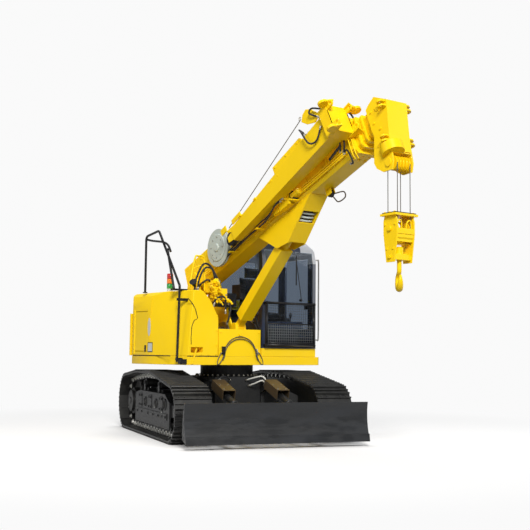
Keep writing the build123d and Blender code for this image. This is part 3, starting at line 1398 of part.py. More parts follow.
BLOCK_HALF = FALL_SPACING / 2 + 42
BLOCK_DEPTH = SHEAVE_RADIUS + 24
CROSS_LOW = BLOCK_AXLE - 355
CROSS_HIGH = BLOCK_AXLE - 295
BLOCK_PLATE = 18
BLOCK_PIN = 26
SHANK = 27

with BuildPart() as hook_block:
    for edge in (-1, 1):
        outline(
            side(HANG, edge * (BLOCK_HALF - BLOCK_PLATE / 2) - BLOCK_PLATE / 2),
            [
                (-BLOCK_DEPTH, BLOCK_AXLE + 90),
                (-BLOCK_DEPTH + 20, BLOCK_AXLE + 150),
                (BLOCK_DEPTH - 20, BLOCK_AXLE + 150),
                (BLOCK_DEPTH, BLOCK_AXLE + 90),
                (BLOCK_DEPTH, BLOCK_AXLE - 60),
                (66, CROSS_LOW - 30),
                (-66, CROSS_LOW - 30),
                (-BLOCK_DEPTH, BLOCK_AXLE - 60),
            ],
            BLOCK_PLATE,
        )
    for y in (-BLOCK_DEPTH, BLOCK_DEPTH - 10):
        box_between(HANG, (-BLOCK_HALF + 5, y, BLOCK_AXLE - 60), (BLOCK_HALF - 5, y + 10, BLOCK_AXLE + 4))
    with BuildSketch(top(HANG, BLOCK_AXLE + 150)) as lid:
        Rectangle(2 * BLOCK_HALF + 80, 2 * BLOCK_DEPTH + 30)
        for x in (-FALL_SPACING / 2, FALL_SPACING / 2):
            for y in (-FALL_RADIUS, FALL_RADIUS):
                with Locations((x, y)):
                    Circle(ROPE_RADIUS + 5, mode=Mode.SUBTRACT)
    extrude(lid.sketch, amount=26)
    box_between(HANG, (-BLOCK_HALF + 5, -58, CROSS_LOW), (BLOCK_HALF - 5, 58, CROSS_HIGH))
    for x in (-FALL_SPACING / 2, FALL_SPACING / 2):
        sheave(HANG, x, 0, BLOCK_AXLE, SHEAVE_RADIUS)
    disc(side(HANG, -BLOCK_HALF - 14), (0, BLOCK_AXLE), BLOCK_PIN, 2 * BLOCK_HALF + 28)
    disc(top(HANG, CROSS_LOW - 5), (0, 0), SHANK + SEAT, CROSS_HIGH - CROSS_LOW + 10, Mode.SUBTRACT)
hook_block.part.label = "hook_block"
export_step(hook_block.part, "parts/hook_block.step")

# Hook: shank and nut through the cross-head, then a forged bowl whose round section grows to
# the bottom and tapers to the tip: share of the way round, section radius
HOOK_TURN = -35
HOOK = HANG * Location((0, 0, 0), (0, 0, HOOK_TURN))
HOOK_CENTRE = BLOCK_AXLE - 590
HOOK_THROAT = 52
HOOK_BAR = 40
NUT_RADIUS = 48
NUT = 86
HOOK_SECTIONS = ((0, SHANK), (0.3, 33), (0.58, HOOK_BAR), (0.8, 33), (1, 15))

with BuildPart() as hook:
    shank_low = HOOK_CENTRE + 2.6 * HOOK_THROAT
    disc(top(HOOK, shank_low), (0, 0), SHANK, CROSS_HIGH + NUT + 10 - shank_low)
    disc(top(HOOK, CROSS_HIGH + SEAT), (0, 0), NUT_RADIUS, NUT)
    ring = HOOK_THROAT + HOOK_BAR
    way = [(0, shank_low - HOOK_CENTRE), (0.56 * ring, 0.8 * ring), (ring, 0), (0, -ring), (-ring, 0)]
    way.append((-1.04 * ring, 0.5 * ring))
    with BuildLine() as route:
        Spline(
            *[placed(HOOK, (0, y, HOOK_CENTRE + z)) for y, z in way],
            tangents=[placed(HOOK, way) - placed(HOOK, (0, 0, 0)) for way in ((0, 0, -1), (0, -0.1, 1))],
        )
    path = route.wire()
    sections = []
    for share, radius in HOOK_SECTIONS:
        with BuildSketch(Plane(path @ share, z_dir=path % share)) as section:
            Circle(radius)
        sections.append(section.sketch)
    sweep(sections=sections, path=path, multisection=True)
    tip = Location(tuple(path @ 1))
    with Locations(tip):
        Sphere(HOOK_SECTIONS[-1][1])
hook.part.label = "hook"
export_step(hook.part, "parts/hook.step")

# Fly jib, stowed beside the boom
JIB_X = -565
JIB = UPPER * Location((JIB_X, -1000, 2790), (-27.5, 0, 0))
JIB_LENGTH = 2520

with BuildPart() as jib:
    with BuildSketch(front(JIB, -60)) as tip_section:
        Rectangle(120, 190)
    with BuildSketch(front(JIB, -JIB_LENGTH)) as root_section:
        with Locations((0, 20)):
            Rectangle(220, 340)
    loft(sections=[tip_section.sketch, root_section.sketch])
    box_between(JIB, (-165, -JIB_LENGTH - 60, -170), (165, -JIB_LENGTH + 90, 220))
    for x in (-150, 150):
        for z in (-120, 170):
            with BuildSketch(side(JIB, x - 12)) as lug:
                with Locations((-JIB_LENGTH - 90, z)):
                    Rectangle(100, 80)
                with Locations((-JIB_LENGTH - 140, z)):
                    Circle(40)
                with Locations((-JIB_LENGTH - 140, z)):
                    Circle(20, mode=Mode.SUBTRACT)
            extrude(lug.sketch, amount=24)
    box_between(JIB, (-78, -1900, 60), (78, -1265, 250))
    for y in (-1900, -700):
        box_between(JIB, (50, y - 40, -40), (BOOM_X - BASE_WIDTH / 2 - SEAT - JIB_X, y + 40, 40))
    for x in (-40, 28):
        outline(side(JIB, x), [(-80, -70), (90, -40), (90, 40), (-80, 70)], 12)
jib.part.label = "jib"
export_step(jib.part, "parts/jib.step")

with BuildPart() as jib_sheave:
    disc(side(JIB, -27), (50, 0), 95, 54)
jib_sheave.part.label = "jib_sheave"
export_step(jib_sheave.part, "parts/jib_sheave.step")

# Cable reel on the boom's right-hand side
REEL = (-420, 2700)
with BuildPart() as cable_reel:
    reel_x = BOOM_X - BASE_WIDTH / 2 - SEAT
    disc(side(UPPER, reel_x - 60), REEL, 60, 60)
    disc(side(UPPER, reel_x - 90), REEL, 275, 14)
    disc(side(UPPER, reel_x - 80), REEL, 240, 30)
    disc(side(UPPER, reel_x - 54), REEL, 275, 14)
cable_reel.part.label = "cable_reel"
export_step(cable_reel.part, "parts/cable_reel.step")

# Handrail loop on the right-hand housing, its front leg down the housing's corner, and the lamp
RAIL_X = -1180
RAIL_TUBE = 17
RAIL_LOOP = [
    (400, HOUSE_TOP + 12),
    (400, 2880),
    (20, 2930),
    (-600, HOUSE_TOP + 55),
    (-560, 1060),
]
RAIL_POST = [(-441, HOUSE_TOP + 22), (-235, 2650)]
CLAMP_Z = (1080, 1900)
with BuildPart() as handrail:
    for z in CLAMP_Z:
        box_between(UPPER, (RAIL_X - 22, -600, z), (TURN_NOSE[0] + 100, -556, z + 36))
    with BuildSketch(turned_side(SEAT)) as half_space:
        Rectangle(FAR, FAR)
    extrude(half_space.sketch, amount=-HALF_WIDTH, mode=Mode.SUBTRACT)
    tube(UPPER, [(RAIL_X, y, z) for y, z in RAIL_LOOP], RAIL_TUBE, 60)
    tube(UPPER, [(RAIL_X, y, z) for y, z in RAIL_POST], RAIL_TUBE, 60)
    disc(top(UPPER, HOUSE_TOP + SEAT), (RAIL_X, RAIL_LOOP[0][0]), 34, 14)
    box_between(
        UPPER,
        (RAIL_X - 34, RAIL_POST[0][0] - 34, HOUSE_TOP + SEAT),
        (RAIL_X + 210, RAIL_POST[0][0] + 34, HOUSE_TOP + SEAT + 24),
    )
handrail.part.label = "handrail"
export_step(handrail.part, "parts/handrail.step")

LAMP_RADIUS = 38
LAMP = (-1010, -30)
LAMP_BANDS = ((0, 36, 26), (36, 112, LAMP_RADIUS), (115, 191, LAMP_RADIUS), (194, 270, LAMP_RADIUS))
with BuildPart() as signal_lamp:
    for low, high, radius in LAMP_BANDS:
        disc(top(UPPER, HOUSE_TOP + SEAT + low), LAMP, radius, high - low + 3)
signal_lamp.part.label = "signal_lamp"
export_step(signal_lamp.part, "parts/signal_lamp.step")
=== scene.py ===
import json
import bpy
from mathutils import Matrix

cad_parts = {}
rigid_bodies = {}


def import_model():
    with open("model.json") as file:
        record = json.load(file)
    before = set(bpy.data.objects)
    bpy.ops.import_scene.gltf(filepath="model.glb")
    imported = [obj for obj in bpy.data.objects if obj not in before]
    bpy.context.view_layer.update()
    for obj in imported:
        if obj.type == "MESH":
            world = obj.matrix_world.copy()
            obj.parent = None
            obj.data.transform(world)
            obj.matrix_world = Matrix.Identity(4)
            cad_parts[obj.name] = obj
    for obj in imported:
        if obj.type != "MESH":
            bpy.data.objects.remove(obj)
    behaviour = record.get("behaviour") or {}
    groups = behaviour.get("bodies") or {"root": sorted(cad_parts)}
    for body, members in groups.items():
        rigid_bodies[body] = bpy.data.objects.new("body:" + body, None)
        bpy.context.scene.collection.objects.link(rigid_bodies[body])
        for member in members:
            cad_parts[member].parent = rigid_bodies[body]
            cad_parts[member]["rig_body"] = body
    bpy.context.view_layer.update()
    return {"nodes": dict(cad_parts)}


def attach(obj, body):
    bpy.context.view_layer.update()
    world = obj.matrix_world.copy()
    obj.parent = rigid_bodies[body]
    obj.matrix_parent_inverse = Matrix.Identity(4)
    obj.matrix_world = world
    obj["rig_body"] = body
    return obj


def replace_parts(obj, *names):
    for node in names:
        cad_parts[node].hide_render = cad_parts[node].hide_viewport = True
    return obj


bl_info = {
    "name": "Crawler crane dressing",
    "version": (1, 0, 0),
    "blender": (4, 5, 0),
    "location": "View3D > Sidebar > Crane",
    "description": "Finishes and small pieces of a telescopic crawler crane",
    "category": "Object",
}

from math import atan2, cos, hypot, pi, radians, sin

import bmesh
import bpy
from mathutils import Matrix, Vector

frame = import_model()


def pose(place, axis, degrees):
    return Matrix.Translation(place) @ Matrix.Rotation(radians(degrees), 4, axis)


# Frames of the machine, in metres: forward is -Y in each of them
SLEW = 15
GROUND = Matrix()
UPPER = pose((0, 0, 0), "Z", SLEW)
BOOM = UPPER @ pose((-0.2, 0.35, 2.28), "X", -22)
JIB = UPPER @ pose((-0.565, -1, 2.79), "X", -27.5)
HEAD_AXLE = (0, -4.368, -0.56)
HANG = pose(BOOM @ Vector(HEAD_AXLE), "Z", SLEW)
OUT_RIGHT = (-1, 0, 0)
OUT_FRONT = (0, -1, 0)
UPWARD = (0, 0, 1)


def add_node(tree, kind, settings=None, inputs=None):
    """A new node with its settings, and its inputs as values or as links."""
    made = tree.nodes.new(kind)
    for key, value in (settings or {}).items():
        setattr(made, key, value)
    for key, value in (inputs or {}).items():
        value = getattr(value, "socket", value)
        if isinstance(value, bpy.types.NodeSocket):
            tree.links.new(value, made.inputs[key])
        else:
            made.inputs[key].default_value = value
    return made


# Finishes


class Number:
    """A value socket that takes part in Python arithmetic."""

    def __init__(self, finish, socket):
        self.finish = finish
        self.socket = socket

    def _math(self, operation, other):
        return self.finish.number(0, "ShaderNodeMath", {"operation": operation}, {0: self, 1: other})

    def __add__(self, other):
        return self._math("ADD", other)

    def __mul__(self, other):
        return self._math("MULTIPLY", other)

    __radd__ = __add__
    __rmul__ = __mul__


class Finish:
    """A procedural material on one Principled shader."""

    def __init__(self, name, **constants):
        self.material = bpy.data.materials.new(name)
        self.material.use_nodes = True
        self.tree = self.material.node_tree
        self.tree.nodes.clear()
        self.shader = self.node("ShaderNodeBsdfPrincipled")
        self.output = self.node("ShaderNodeOutputMaterial", None, {"Surface": self.shader.outputs[0]})
        for socket, value in constants.items():
            self.shader.inputs[socket.replace("_", " ")].default_value = value

    def node(self, kind, settings=None, inputs=None):
        return add_node(self.tree, kind, settings, inputs)

    def number(self, output, kind, settings=None, inputs=None):
        return Number(self, self.node(kind, settings, inputs).outputs[output])

    def coordinates(self, scale=(1, 1, 1), turn=(0, 0, 0)):
        where = self.node("ShaderNodeTexCoord").outputs["Object"]
        mapping = self.node("ShaderNodeMapping", None, {"Vector": where, "Scale": scale, "Rotation": turn})
        return mapping.outputs[0]

    def axes(self, turn=(0, 0, 0)):
        split = self.node("ShaderNodeSeparateXYZ", None, {0: self.coordinates(turn=turn)})
        return [Number(self, socket) for socket in split.outputs]

    def noise(self, scale, detail=3.0, stretch=(1, 1, 1)):
        inputs = {"Vector": self.coordinates(stretch), "Scale": scale, "Detail": detail, "Roughness": 0.55}
        return self.number("Fac", "ShaderNodeTexNoise", None, inputs)

    def bands(self, direction, scale, distortion=0.0, turn=(0, 0, 0)):
        inputs = {"Vector": self.coordinates(turn=turn), "Scale": scale, "Distortion": distortion}
        settings = {"wave_type": "BANDS", "bands_direction": direction}
        return self.number("Fac", "ShaderNodeTexWave", settings, inputs)

    def between(self, value, low, high):
        settings = {"clamp": True, "interpolation_type": "SMOOTHSTEP"}
        inputs = {"Value": value, "From Min": low, "From Max": high}
        return self.number(0, "ShaderNodeMapRange", settings, inputs)

    def clip(self, value):
        return self.number(0, "ShaderNodeClamp", None, {"Value": value})

    def mix(self, factor, first, second):
        return self.node("ShaderNodeMix", {"data_type": "RGBA"}, {0: factor, 6: first, 7: second}).outputs[2]

    def bump(self, height, strength, distance):
        inputs = {"Height": height, "Strength": strength, "Distance": distance}
        return self.node("ShaderNodeBump", None, inputs).outputs[0]

    def set(self, **sockets):
        for key, value in sockets.items():
            socket = getattr(value, "socket", value)
            self.tree.links.new(socket, self.shader.inputs[key.replace("_", " ")])
        return self.material


def rgb(red, green, blue):
    """A display colour, 0 to 255, as the linear colour that a shader takes."""

    def linear(c):
        c = c / 255
        return c / 12.92 if c <= 0.04045 else ((c + 0.055) / 1.055) ** 2.4

    return (linear(red), linear(green), linear(blue), 1.0)


def shade(colour, factor):
    return tuple(c * factor for c in colour[:3]) + (1.0,)


def paint(name, colour, gloss=0.3, coat=0.2, dust=0.08, low_dust=0.0):
    """Sprayed gloss paint: slight tone drift, orange peel, faint dust that gathers low down."""
    f = Finish(name, Coat_Weight=coat, Coat_Roughness=0.08, IOR=1.5, Specular_IOR_Level=0.2)
    tone = f.mix(f.between(f.noise(1.3, 4.0), 0.3, 0.72), shade(colour, 0.95), colour)
    fine = f.noise(38.0, 5.0, (1, 1, 0.25))
    mask = f.between(fine, 0.5, 0.85) * dust
    if low_dust:
        mask = mask + f.between(f.axes()[2], 1.9, 1.0) * low_dust * f.between(f.noise(5.0, 6.0), 0.25, 0.8)
    return f.set(
        Base_Color=f.mix(mask, tone, rgb(186, 172, 140)),
        Roughness=gloss + mask * 0.5 + fine * 0.06,
        Normal=f.bump(f.noise(420.0, 1.0), 0.03, 0.002),
    )


def worn_metal(name, dark, bright, gloss=0.5, metal=0.4, grain=60.0, streak=(1, 1, 1)):
    """Bare or thinly painted steel with rubbed patches, grime and a fine grain."""
    f = Finish(name, IOR=1.5)
    patches = f.between(f.noise(7.0, 6.0, streak), 0.42, 0.72)
    grime = f.between(f.noise(grain, 4.0, streak), 0.35, 0.75)
    return f.set(
        Base_Color=f.mix(grime * 0.35, f.mix(patches, dark, bright), shade(dark, 0.5)),
        Metallic=patches * metal,
        Roughness=gloss + grime * 0.25,
        Normal=f.bump(grime + patches * 0.5, 0.15, 0.003),
    )


def smooth_metal(name, colour, roughness, brushed=0.02, metal=1.0):
    """Ground or plated steel with fine machining marks."""
    f = Finish(name, Metallic=metal)
    marks = f.noise(260.0, 2.0, (1, 1, 6))
    return f.set(
        Base_Color=f.mix(marks * 0.3, colour, shade(colour, 0.75)),
        Roughness=roughness + marks * 0.08,
        Normal=f.bump(marks, brushed, 0.001),
    )


def moulded(name, colour, roughness=0.5):
    """Rubber or moulded plastic with a fine grain and a little bloom."""
    f = Finish(name)
    bloom = f.between(f.noise(6.0, 4.0), 0.35, 0.8)
    return f.set(
        Base_Color=f.mix(bloom * 0.35, colour, shade(colour, 1.7)),
        Roughness=roughness + bloom * 0.12,
        Normal=f.bump(f.noise(300.0, 2.0), 0.08, 0.001),
    )


def two_tone(name, lower, upper):
    """Cab paint: the pillars in one colour, the roof and the front left corner in another."""
    f = Finish(name, Coat_Weight=0.3, Coat_Roughness=0.1, IOR=1.5)
    x, _, z = f.axes((0, 0, radians(-SLEW)))
    corner = f.between(x, 0.86, 0.87) * f.between(z, 2.535, 2.545)
    mask = f.clip(corner + f.between(z, 2.845, 2.855))
    drift = f.noise(2.0, 4.0)
    return f.set(
        Base_Color=f.mix(mask, f.mix(drift, lower, shade(lower, 1.25)), f.mix(drift, upper, shade(upper, 0.9))),
        Roughness=0.3 + drift * 0.15,
        Normal=f.bump(f.noise(420.0, 1.0), 0.03, 0.002),
    )


def woven(name, colour):
    """Seat cloth: two crossed rows of threads."""
    f = Finish(name, Sheen_Weight=0.4, Sheen_Roughness=0.5)
    rows = [f.bands("X", 120.0, 0.4, (0, turn, radians(SLEW))) for turn in (0, pi / 2)]
    weave = rows[0] * rows[1]
    return f.set(
        Base_Color=f.mix(weave * 0.7 + f.noise(9.0, 4.0) * 0.3, shade(colour, 0.6), shade(colour, 1.5)),
        Roughness=0.8 + weave * 0.15,
        Normal=f.bump(weave, 0.3, 0.002),
    )


def tinted_glass(name, colour):
    """Tinted cab glass with faint patchy dust."""
    f = Finish(name, Transmission_Weight=1.0, IOR=1.15, Specular_IOR_Level=0.5)
    dust = f.between(f.noise(3.0, 5.0, (1, 1, 0.6)), 0.45, 0.95)
    return f.set(Base_Color=f.mix(dust * 0.4, colour, shade(colour, 0.8)), Roughness=dust * 0.05)


def lens(name, colour, glow=0.25):
    """A ribbed coloured lamp lens with a little light behind it."""
    f = Finish(name, Coat_Weight=0.6, Emission_Strength=glow)
    ribs = f.bands("Z", 90.0)
    tone = f.mix(ribs * 0.4, colour, shade(colour, 0.6))
    return f.set(
        Base_Color=tone,
        Emission_Color=tone,
        Roughness=0.22 + ribs * 0.1,
        Normal=f.bump(ribs, 0.25, 0.002),
    )


def stranded(name, colour, pitch=0.02):
    """Wire rope that lies straight: strands as slanted bands."""
    f = Finish(name, Metallic=0.8)
    strands = f.bands("DIAGONAL", 1 / pitch, 1.0)
    return f.set(
        Base_Color=f.mix(strands, shade(colour, 0.45), colour),
        Roughness=0.45 + strands * 0.2,
        Normal=f.bump(strands, 0.5, 0.002),
    )


def colour_input(name, description, colour):
    return bpy.props.FloatVectorProperty(
        name=name, description=description, subtype="COLOR", default=colour[:3], min=0, max=1
    )


class CraneColours(bpy.types.PropertyGroup):
    body: colour_input("Body", "Body and boom paint", rgb(255, 214, 14))
    frame: colour_input("Undercarriage", "Undercarriage paint", rgb(17, 18, 19))
    blade: colour_input("Blade", "Blade paint", rgb(18, 20, 23))
    cab: colour_input("Cab frame", "Cab pillar paint", rgb(30, 40, 62))


class CraneSizes(bpy.types.PropertyGroup):
    hose: bpy.props.FloatProperty(
        name="Hose",
        description="Outer diameter of a hydraulic hose",
        default=0.022,
        unit="LENGTH",
        min=0.01,
        max=0.05,
    )


FINISHES = {}


def make_finishes(colours):
    body, under, blade, cab = (
        tuple(colour) + (1.0,) for colour in (colours.body, colours.frame, colours.blade, colours.cab)
    )
    FINISHES.update(
        body=paint("body_paint", body, 0.3, 0.16, 0.03, 0.04),
        boom=paint("boom_paint", body, 0.34, 0.05, 0.02),
        under=worn_metal("undercarriage_paint", under, shade(under, 1.8), 0.45, 0.2, 80.0),
        track=worn_metal("track_steel", rgb(20, 20, 20), rgb(52, 52, 50), 0.4, 0.3, 90.0),
        blade=worn_metal("blade_paint", blade, rgb(33, 36, 41), 0.4, 0.1, 14.0, (0.3, 1, 1)),
        cab=two_tone("cab_frame_paint", cab, rgb(176, 180, 186)),
        black=paint("black_paint", rgb(26, 26, 28), 0.38, 0.2, 0.06),
        grey=paint("reel_paint", rgb(188, 197, 190), 0.35),
        bronze=smooth_metal("bronze_guard", rgb(84, 70, 50), 0.4, 0.05, 0.2),
        steel=smooth_metal("machined_steel", rgb(150, 150, 148), 0.3),
        # Pin ends near white: bare steel, with a painted highlight for their bright glints
        pin=smooth_metal("pin_with_painted_glint", rgb(236, 236, 230), 0.3, 0.02, 0.3),
        wire=moulded("guard_wire", rgb(92, 96, 98), 0.45),
        plated=smooth_metal("plated_fastener", rgb(176, 172, 160), 0.35),
        chrome=smooth_metal("chromed_rod", rgb(222, 224, 226), 0.08, 0.005),
        rope=stranded("wire_rope", rgb(120, 116, 108)),
        rubber=moulded("hose_rubber", rgb(22, 22, 23), 0.55),
        gap=moulded("panel_gap_and_painted_shade", rgb(16, 14, 8), 0.9),
        white=moulded("white_hose_and_painted_light", rgb(206, 206, 200)),
        plate=paint("blank_plate", rgb(206, 210, 206), 0.3, 0.3),
        plastic=moulded("moulded_plastic", rgb(34, 35, 37)),
        navy=moulded("console_plastic", rgb(38, 50, 74)),
        seat=woven("seat_cloth", rgb(46, 48, 54)),
        glass=tinted_glass("cab_glass_tint", rgb(218, 228, 240)),
        red=lens("red_lens", rgb(205, 20, 12)),
        amber=lens("amber_lens", rgb(245, 130, 12)),
        green=lens("green_lens", rgb(20, 150, 60)),
        clear=lens("clear_lens", rgb(225, 225, 220), 0.1),
        engine=worn_metal("engine_casting", rgb(60, 62, 64), rgb(96, 98, 98), 0.5, 0.5, 70.0),
    )


# Shapes


def linked(name, data):
    made = bpy.data.objects.new(name, data)
    bpy.context.scene.collection.objects.link(made)
    return made


def soften(made, width, angle, harden):
    """Round the edges that are sharper than an angle."""
    modifier = made.modifiers.new("edges", "BEVEL")
    modifier.width = width
    modifier.segments = 2
    modifier.limit_method = "ANGLE"
    modifier.angle_limit = radians(angle)
    modifier.harden_normals = harden


def around(axis):
    """Two directions that are square to an axis and to each other."""
    across = Vector(axis).orthogonal().normalized()
    return across, Vector(axis).cross(across).normalized()


def circle(centre, across, other, radius, count):
    turns = [2 * pi * i / count for i in range(count)]
    return [centre + (across * cos(a) + other * sin(a)) * radius for a in turns]


def oval(centre, reach, count=20):
    """A flat outline about a centre, with its half lengths."""
    turns = [2 * pi * i / count for i in range(count)]
    return [(centre[0] + reach[0] * cos(a), centre[1] + reach[1] * sin(a)) for a in turns]


def rounded(radius, share, less):
    """The profile of a drum with both rims eased."""
    return [(0, radius - less), (share, radius), (1 - share, radius), (1, radius - less)]


def stepped(foot, neck, tip, share=0.6):
    """The profile of a plug: a foot, then an end of another width."""
    return [(0, foot), (share, foot), (share + 0.02, neck), (1, tip)]


def eased(radius, tip):
    """The profile of a boss with its free rim eased."""
    return [(0, radius), (0.8, radius), (1, tip)]


def smooth_route(points, steps):
    """Points on a smooth line through the given ones."""
    if len(points) < 3:
        return points
    padded = [points[0] * 2 - points[1]] + points + [points[-1] * 2 - points[-2]]
    route = []
    for i in range(1, len(padded) - 2):
        a, b, c, d = padded[i - 1 : i + 3]
        for k in range(steps):
            t = k / steps
            bend = (2 * a - 5 * b + 4 * c - d) * t * t + (3 * b - a - 3 * c + d) * t * t * t
            route.append(0.5 * (2 * b + (c - a) * t + bend))
    route.append(points[-1])
    return route


class Piece:
    """One piece's faces, collected in a frame and kept with the object at the origin."""

    def __init__(self, finish, matrix=UPPER):
        self.mesh = bmesh.new()
        self.matrix = matrix
        self.slots = []
        self.use(finish)

    def use(self, finish):
        if finish not in self.slots:
            self.slots.append(finish)
        self.slot = self.slots.index(finish)
        return self

    def _keep(self, faces, smooth=False):
        for face in faces:
            face.material_index = self.slot
            face.smooth = smooth

    def hull(self, rings, closed=False, smooth=False):
        """Skin between rings of points with equal counts, capped unless it closes on itself."""
        rows = [[self.mesh.verts.new(self.matrix @ Vector(p)) for p in ring] for ring in rings]
        if not closed:
            self._keep([self.mesh.faces.new(list(reversed(rows[0]))), self.mesh.faces.new(rows[-1])])
        faces = []
        for a, b in zip(rows, rows[1:] + rows[:closed]):
            for i in range(len(a)):
                k = (i + 1) % len(a)
                faces.append(self.mesh.faces.new((a[i], a[k], b[k], b[i])))
        self._keep(faces, smooth)
        return self

    def plate(self, axis, points, low, high):
        """An outline in the plane across an axis, thickened along it."""
        at = "XYZ".index(axis)
        return self.hull([[(*p[:at], t, *p[at:]) for p in points] for t in (low, high)])

    def block(self, low, high):
        (x1, y1, z1), (x2, y2, z2) = low, high
        return self.plate("Z", [(x1, y1), (x2, y1), (x2, y2), (x1, y2)], z1, z2)

    def turned(self, start, end, profile, sides=24, smooth=True):
        """A turned form about the line from start to end; profile holds (share along, radius)."""
        start = Vector(start)
        along = Vector(end) - start
        sections = [circle(start + along * share, *around(along), radius, sides) for share, radius in profile]
        return self.hull(sections, smooth=smooth)

    def boss(self, axis, start, reach, profile, sides=24):
        """A turned form that stands out along an axis."""
        end = Vector(start)
        end["XYZ".index(axis)] += reach
        return self.turned(start, end, profile, sides)

    def rod(self, start, end, radius, sides=16):
        return self.turned(start, end, [(0, radius), (1, radius)], sides)

    def pipe(self, points, radius, sides=8, smoothing=3):
        """A tube on a smooth line through corner points."""
        route = smooth_route([Vector(p) for p in points], smoothing)
        rings = []
        normal = None
        for i, point in enumerate(route):
            ahead = (route[min(i + 1, len(route) - 1)] - route[max(i - 1, 0)]).normalized()
            if normal is None:
                normal = ahead.orthogonal().normalized()
            else:
                normal = (normal - ahead * normal.dot(ahead)).normalized()
            rings.append(circle(point, normal, ahead.cross(normal), radius, sides))
        return self.hull(rings, smooth=True)

    def ring(self, centre, axis, radius, thickness, sides=24, tube_sides=8):
        """A round bar bent to a closed ring."""
        spokes = circle(Vector(), *around(axis), 1, sides)
        middle = Vector(centre)
        bar = [circle(middle + out * radius, out, Vector(axis), thickness, tube_sides) for out in spokes]
        return self.hull(bar, closed=True, smooth=True)

    def seam(self, points, facing, width):
        """A dark panel gap drawn along a surface."""
        facing = Vector(facing)
        rings = []
        for i, point in enumerate(points):
            before, after = Vector(points[max(i - 1, 0)]), Vector(points[min(i + 1, len(points) - 1)])
            across = (after - before).cross(facing).normalized() * width / 2
            sunk, raised = Vector(point) - facing * 0.002, Vector(point) + facing * 0.0015
            rings.append([sunk - across, sunk + across, raised + across, raised - across])
        return self.hull(rings)

    def fitting(self, end, inner, radius):
        """A hose end that faces away from the run's next point: crimped collar and hexagon nut."""
        out = (Vector(end) - Vector(inner)).normalized() * radius
        start, end = Vector(end) - out * 4, Vector(end) + out * 0.6
        self.turned(start, end, [(0, radius), (0.45, radius * 1.15), (0.5, radius * 1.15)], 12)
        nut = [(0, radius * 1.45), (1, radius * 1.45)]
        return self.turned(start.lerp(end, 0.5), end, nut, 6, smooth=False)

    def finish(self, name, body, record_slot, bevel=0.0):
        data = bpy.data.meshes.new(name)
        bmesh.ops.recalc_face_normals(self.mesh, faces=self.mesh.faces)
        self.mesh.to_mesh(data)
        self.mesh.free()
        for finish in self.slots:
            data.materials.append(FINISHES[finish])
        made = linked(name, data)
        if bevel:
            soften(made, bevel, 40, False)
        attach(made, body)
        return made


def hoses(name, body, runs, matrix=UPPER, finish="rubber", radius=None):
    """Fixed hydraulic hoses with end fittings, one for each run of points."""
    radius = radius or bpy.context.scene.crane_sizes.hose / 2
    made = Piece(finish, matrix)
    for points in runs:
        made.use(finish).pipe(points, radius, 10, 6)
        made.use("plated").fitting(points[0], points[1], radius)
        made.fitting(points[-1], points[-2], radius)
    return made.finish(name, body, "plastic")


# Main pieces

# Nodes whose flats have pockets that a merged face can't hold
UNMERGED = ("jib",)


def dress(node, finish, bevel, angle):
    """A merged copy of a CAD node with soft edges, which stands for the node."""
    source = frame["nodes"][node]
    data = source.data.copy()
    data.name = node + "_skin"
    shape = bmesh.new()
    shape.from_mesh(data)
    bmesh.ops.remove_doubles(shape, verts=shape.verts, dist=0.00002)
    if node not in UNMERGED:
        bmesh.ops.dissolve_limit(shape, angle_limit=radians(0.5), verts=shape.verts, edges=shape.edges)
    for face in shape.faces:
        face.smooth = True
        face.material_index = 0
    for edge in shape.edges:
        edge.smooth = len(edge.link_faces) == 2 and edge.calc_face_angle(0) < radians(angle)
    shape.to_mesh(data)
    shape.free()
    data.materials.clear()
    data.materials.append(FINISHES[finish])
    made = linked(node + "_skin", data)
    if bevel:
        soften(made, bevel, angle, True)
    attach(made, source["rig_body"])
    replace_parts(made, node)


# Finish, edge radius in metres, sharp angle in degrees, nodes
SKINS = [
    ("track", 0, 25, "track_right track_left"),
    ("under", 0.005, 32, "track_frame_right track_frame_left"),
    ("track", 0.002, 32, "track_rollers_right track_rollers_left carrier_rollers"),
    ("track", 0.003, 32, "idler_right idler_left"),
    ("track", 0.002, 32, "sprocket_right sprocket_left"),
    ("under", 0.006, 32, "centre_frame"),
    ("blade", 0.004, 32, "blade"),
    ("under", 0.002, 32, "blade_barrel_right blade_barrel_left"),
    ("chrome", 0.001, 32, "blade_rod_right blade_rod_left"),
    ("body", 0.006, 32, "deck"),
    ("body", 0.012, 32, "counterweight"),
    ("engine", 0.01, 32, "engine"),
    ("body", 0.018, 32, "right_housing"),
    ("body", 0.012, 32, "side_compartment"),
    ("body", 0.006, 32, "side_door engine_walls"),
    ("body", 0.03, 32, "engine_hood"),
    ("body", 0.008, 32, "cab_base"),
    ("cab", 0.014, 32, "cab_shell"),
    ("cab", 0.006, 32, "cab_door"),
    ("boom", 0.006, 32, "boom_frame"),
    ("steel", 0.004, 32, "winch_drum"),
    ("boom", 0.006, 32, "boom_base"),
    ("boom", 0.004, 32, "boom_section_2 boom_section_3 boom_section_4 boom_section_5"),
    ("boom", 0.005, 32, "boom_head"),
    ("boom", 0.002, 32, "head_sheaves"),
    ("boom", 0.006, 32, "luff_barrel"),
    ("boom", 0.002, 32, "luff_rod"),
    ("boom", 0.006, 32, "jib"),
    ("black", 0.003, 32, "jib_sheave"),
    ("grey", 0.003, 32, "cable_reel"),
    ("boom", 0.005, 32, "hook_block"),
    ("boom", 0.006, 32, "hook"),
    ("black", 0, 32, "handrail"),
    ("plastic", 0.01, 32, "cab_consoles"),
]
# Nodes whose own mesh already shows right
KEPT = {"cab_glass": "glass", "door_glass": "glass", "hoist_falls": "rope"}


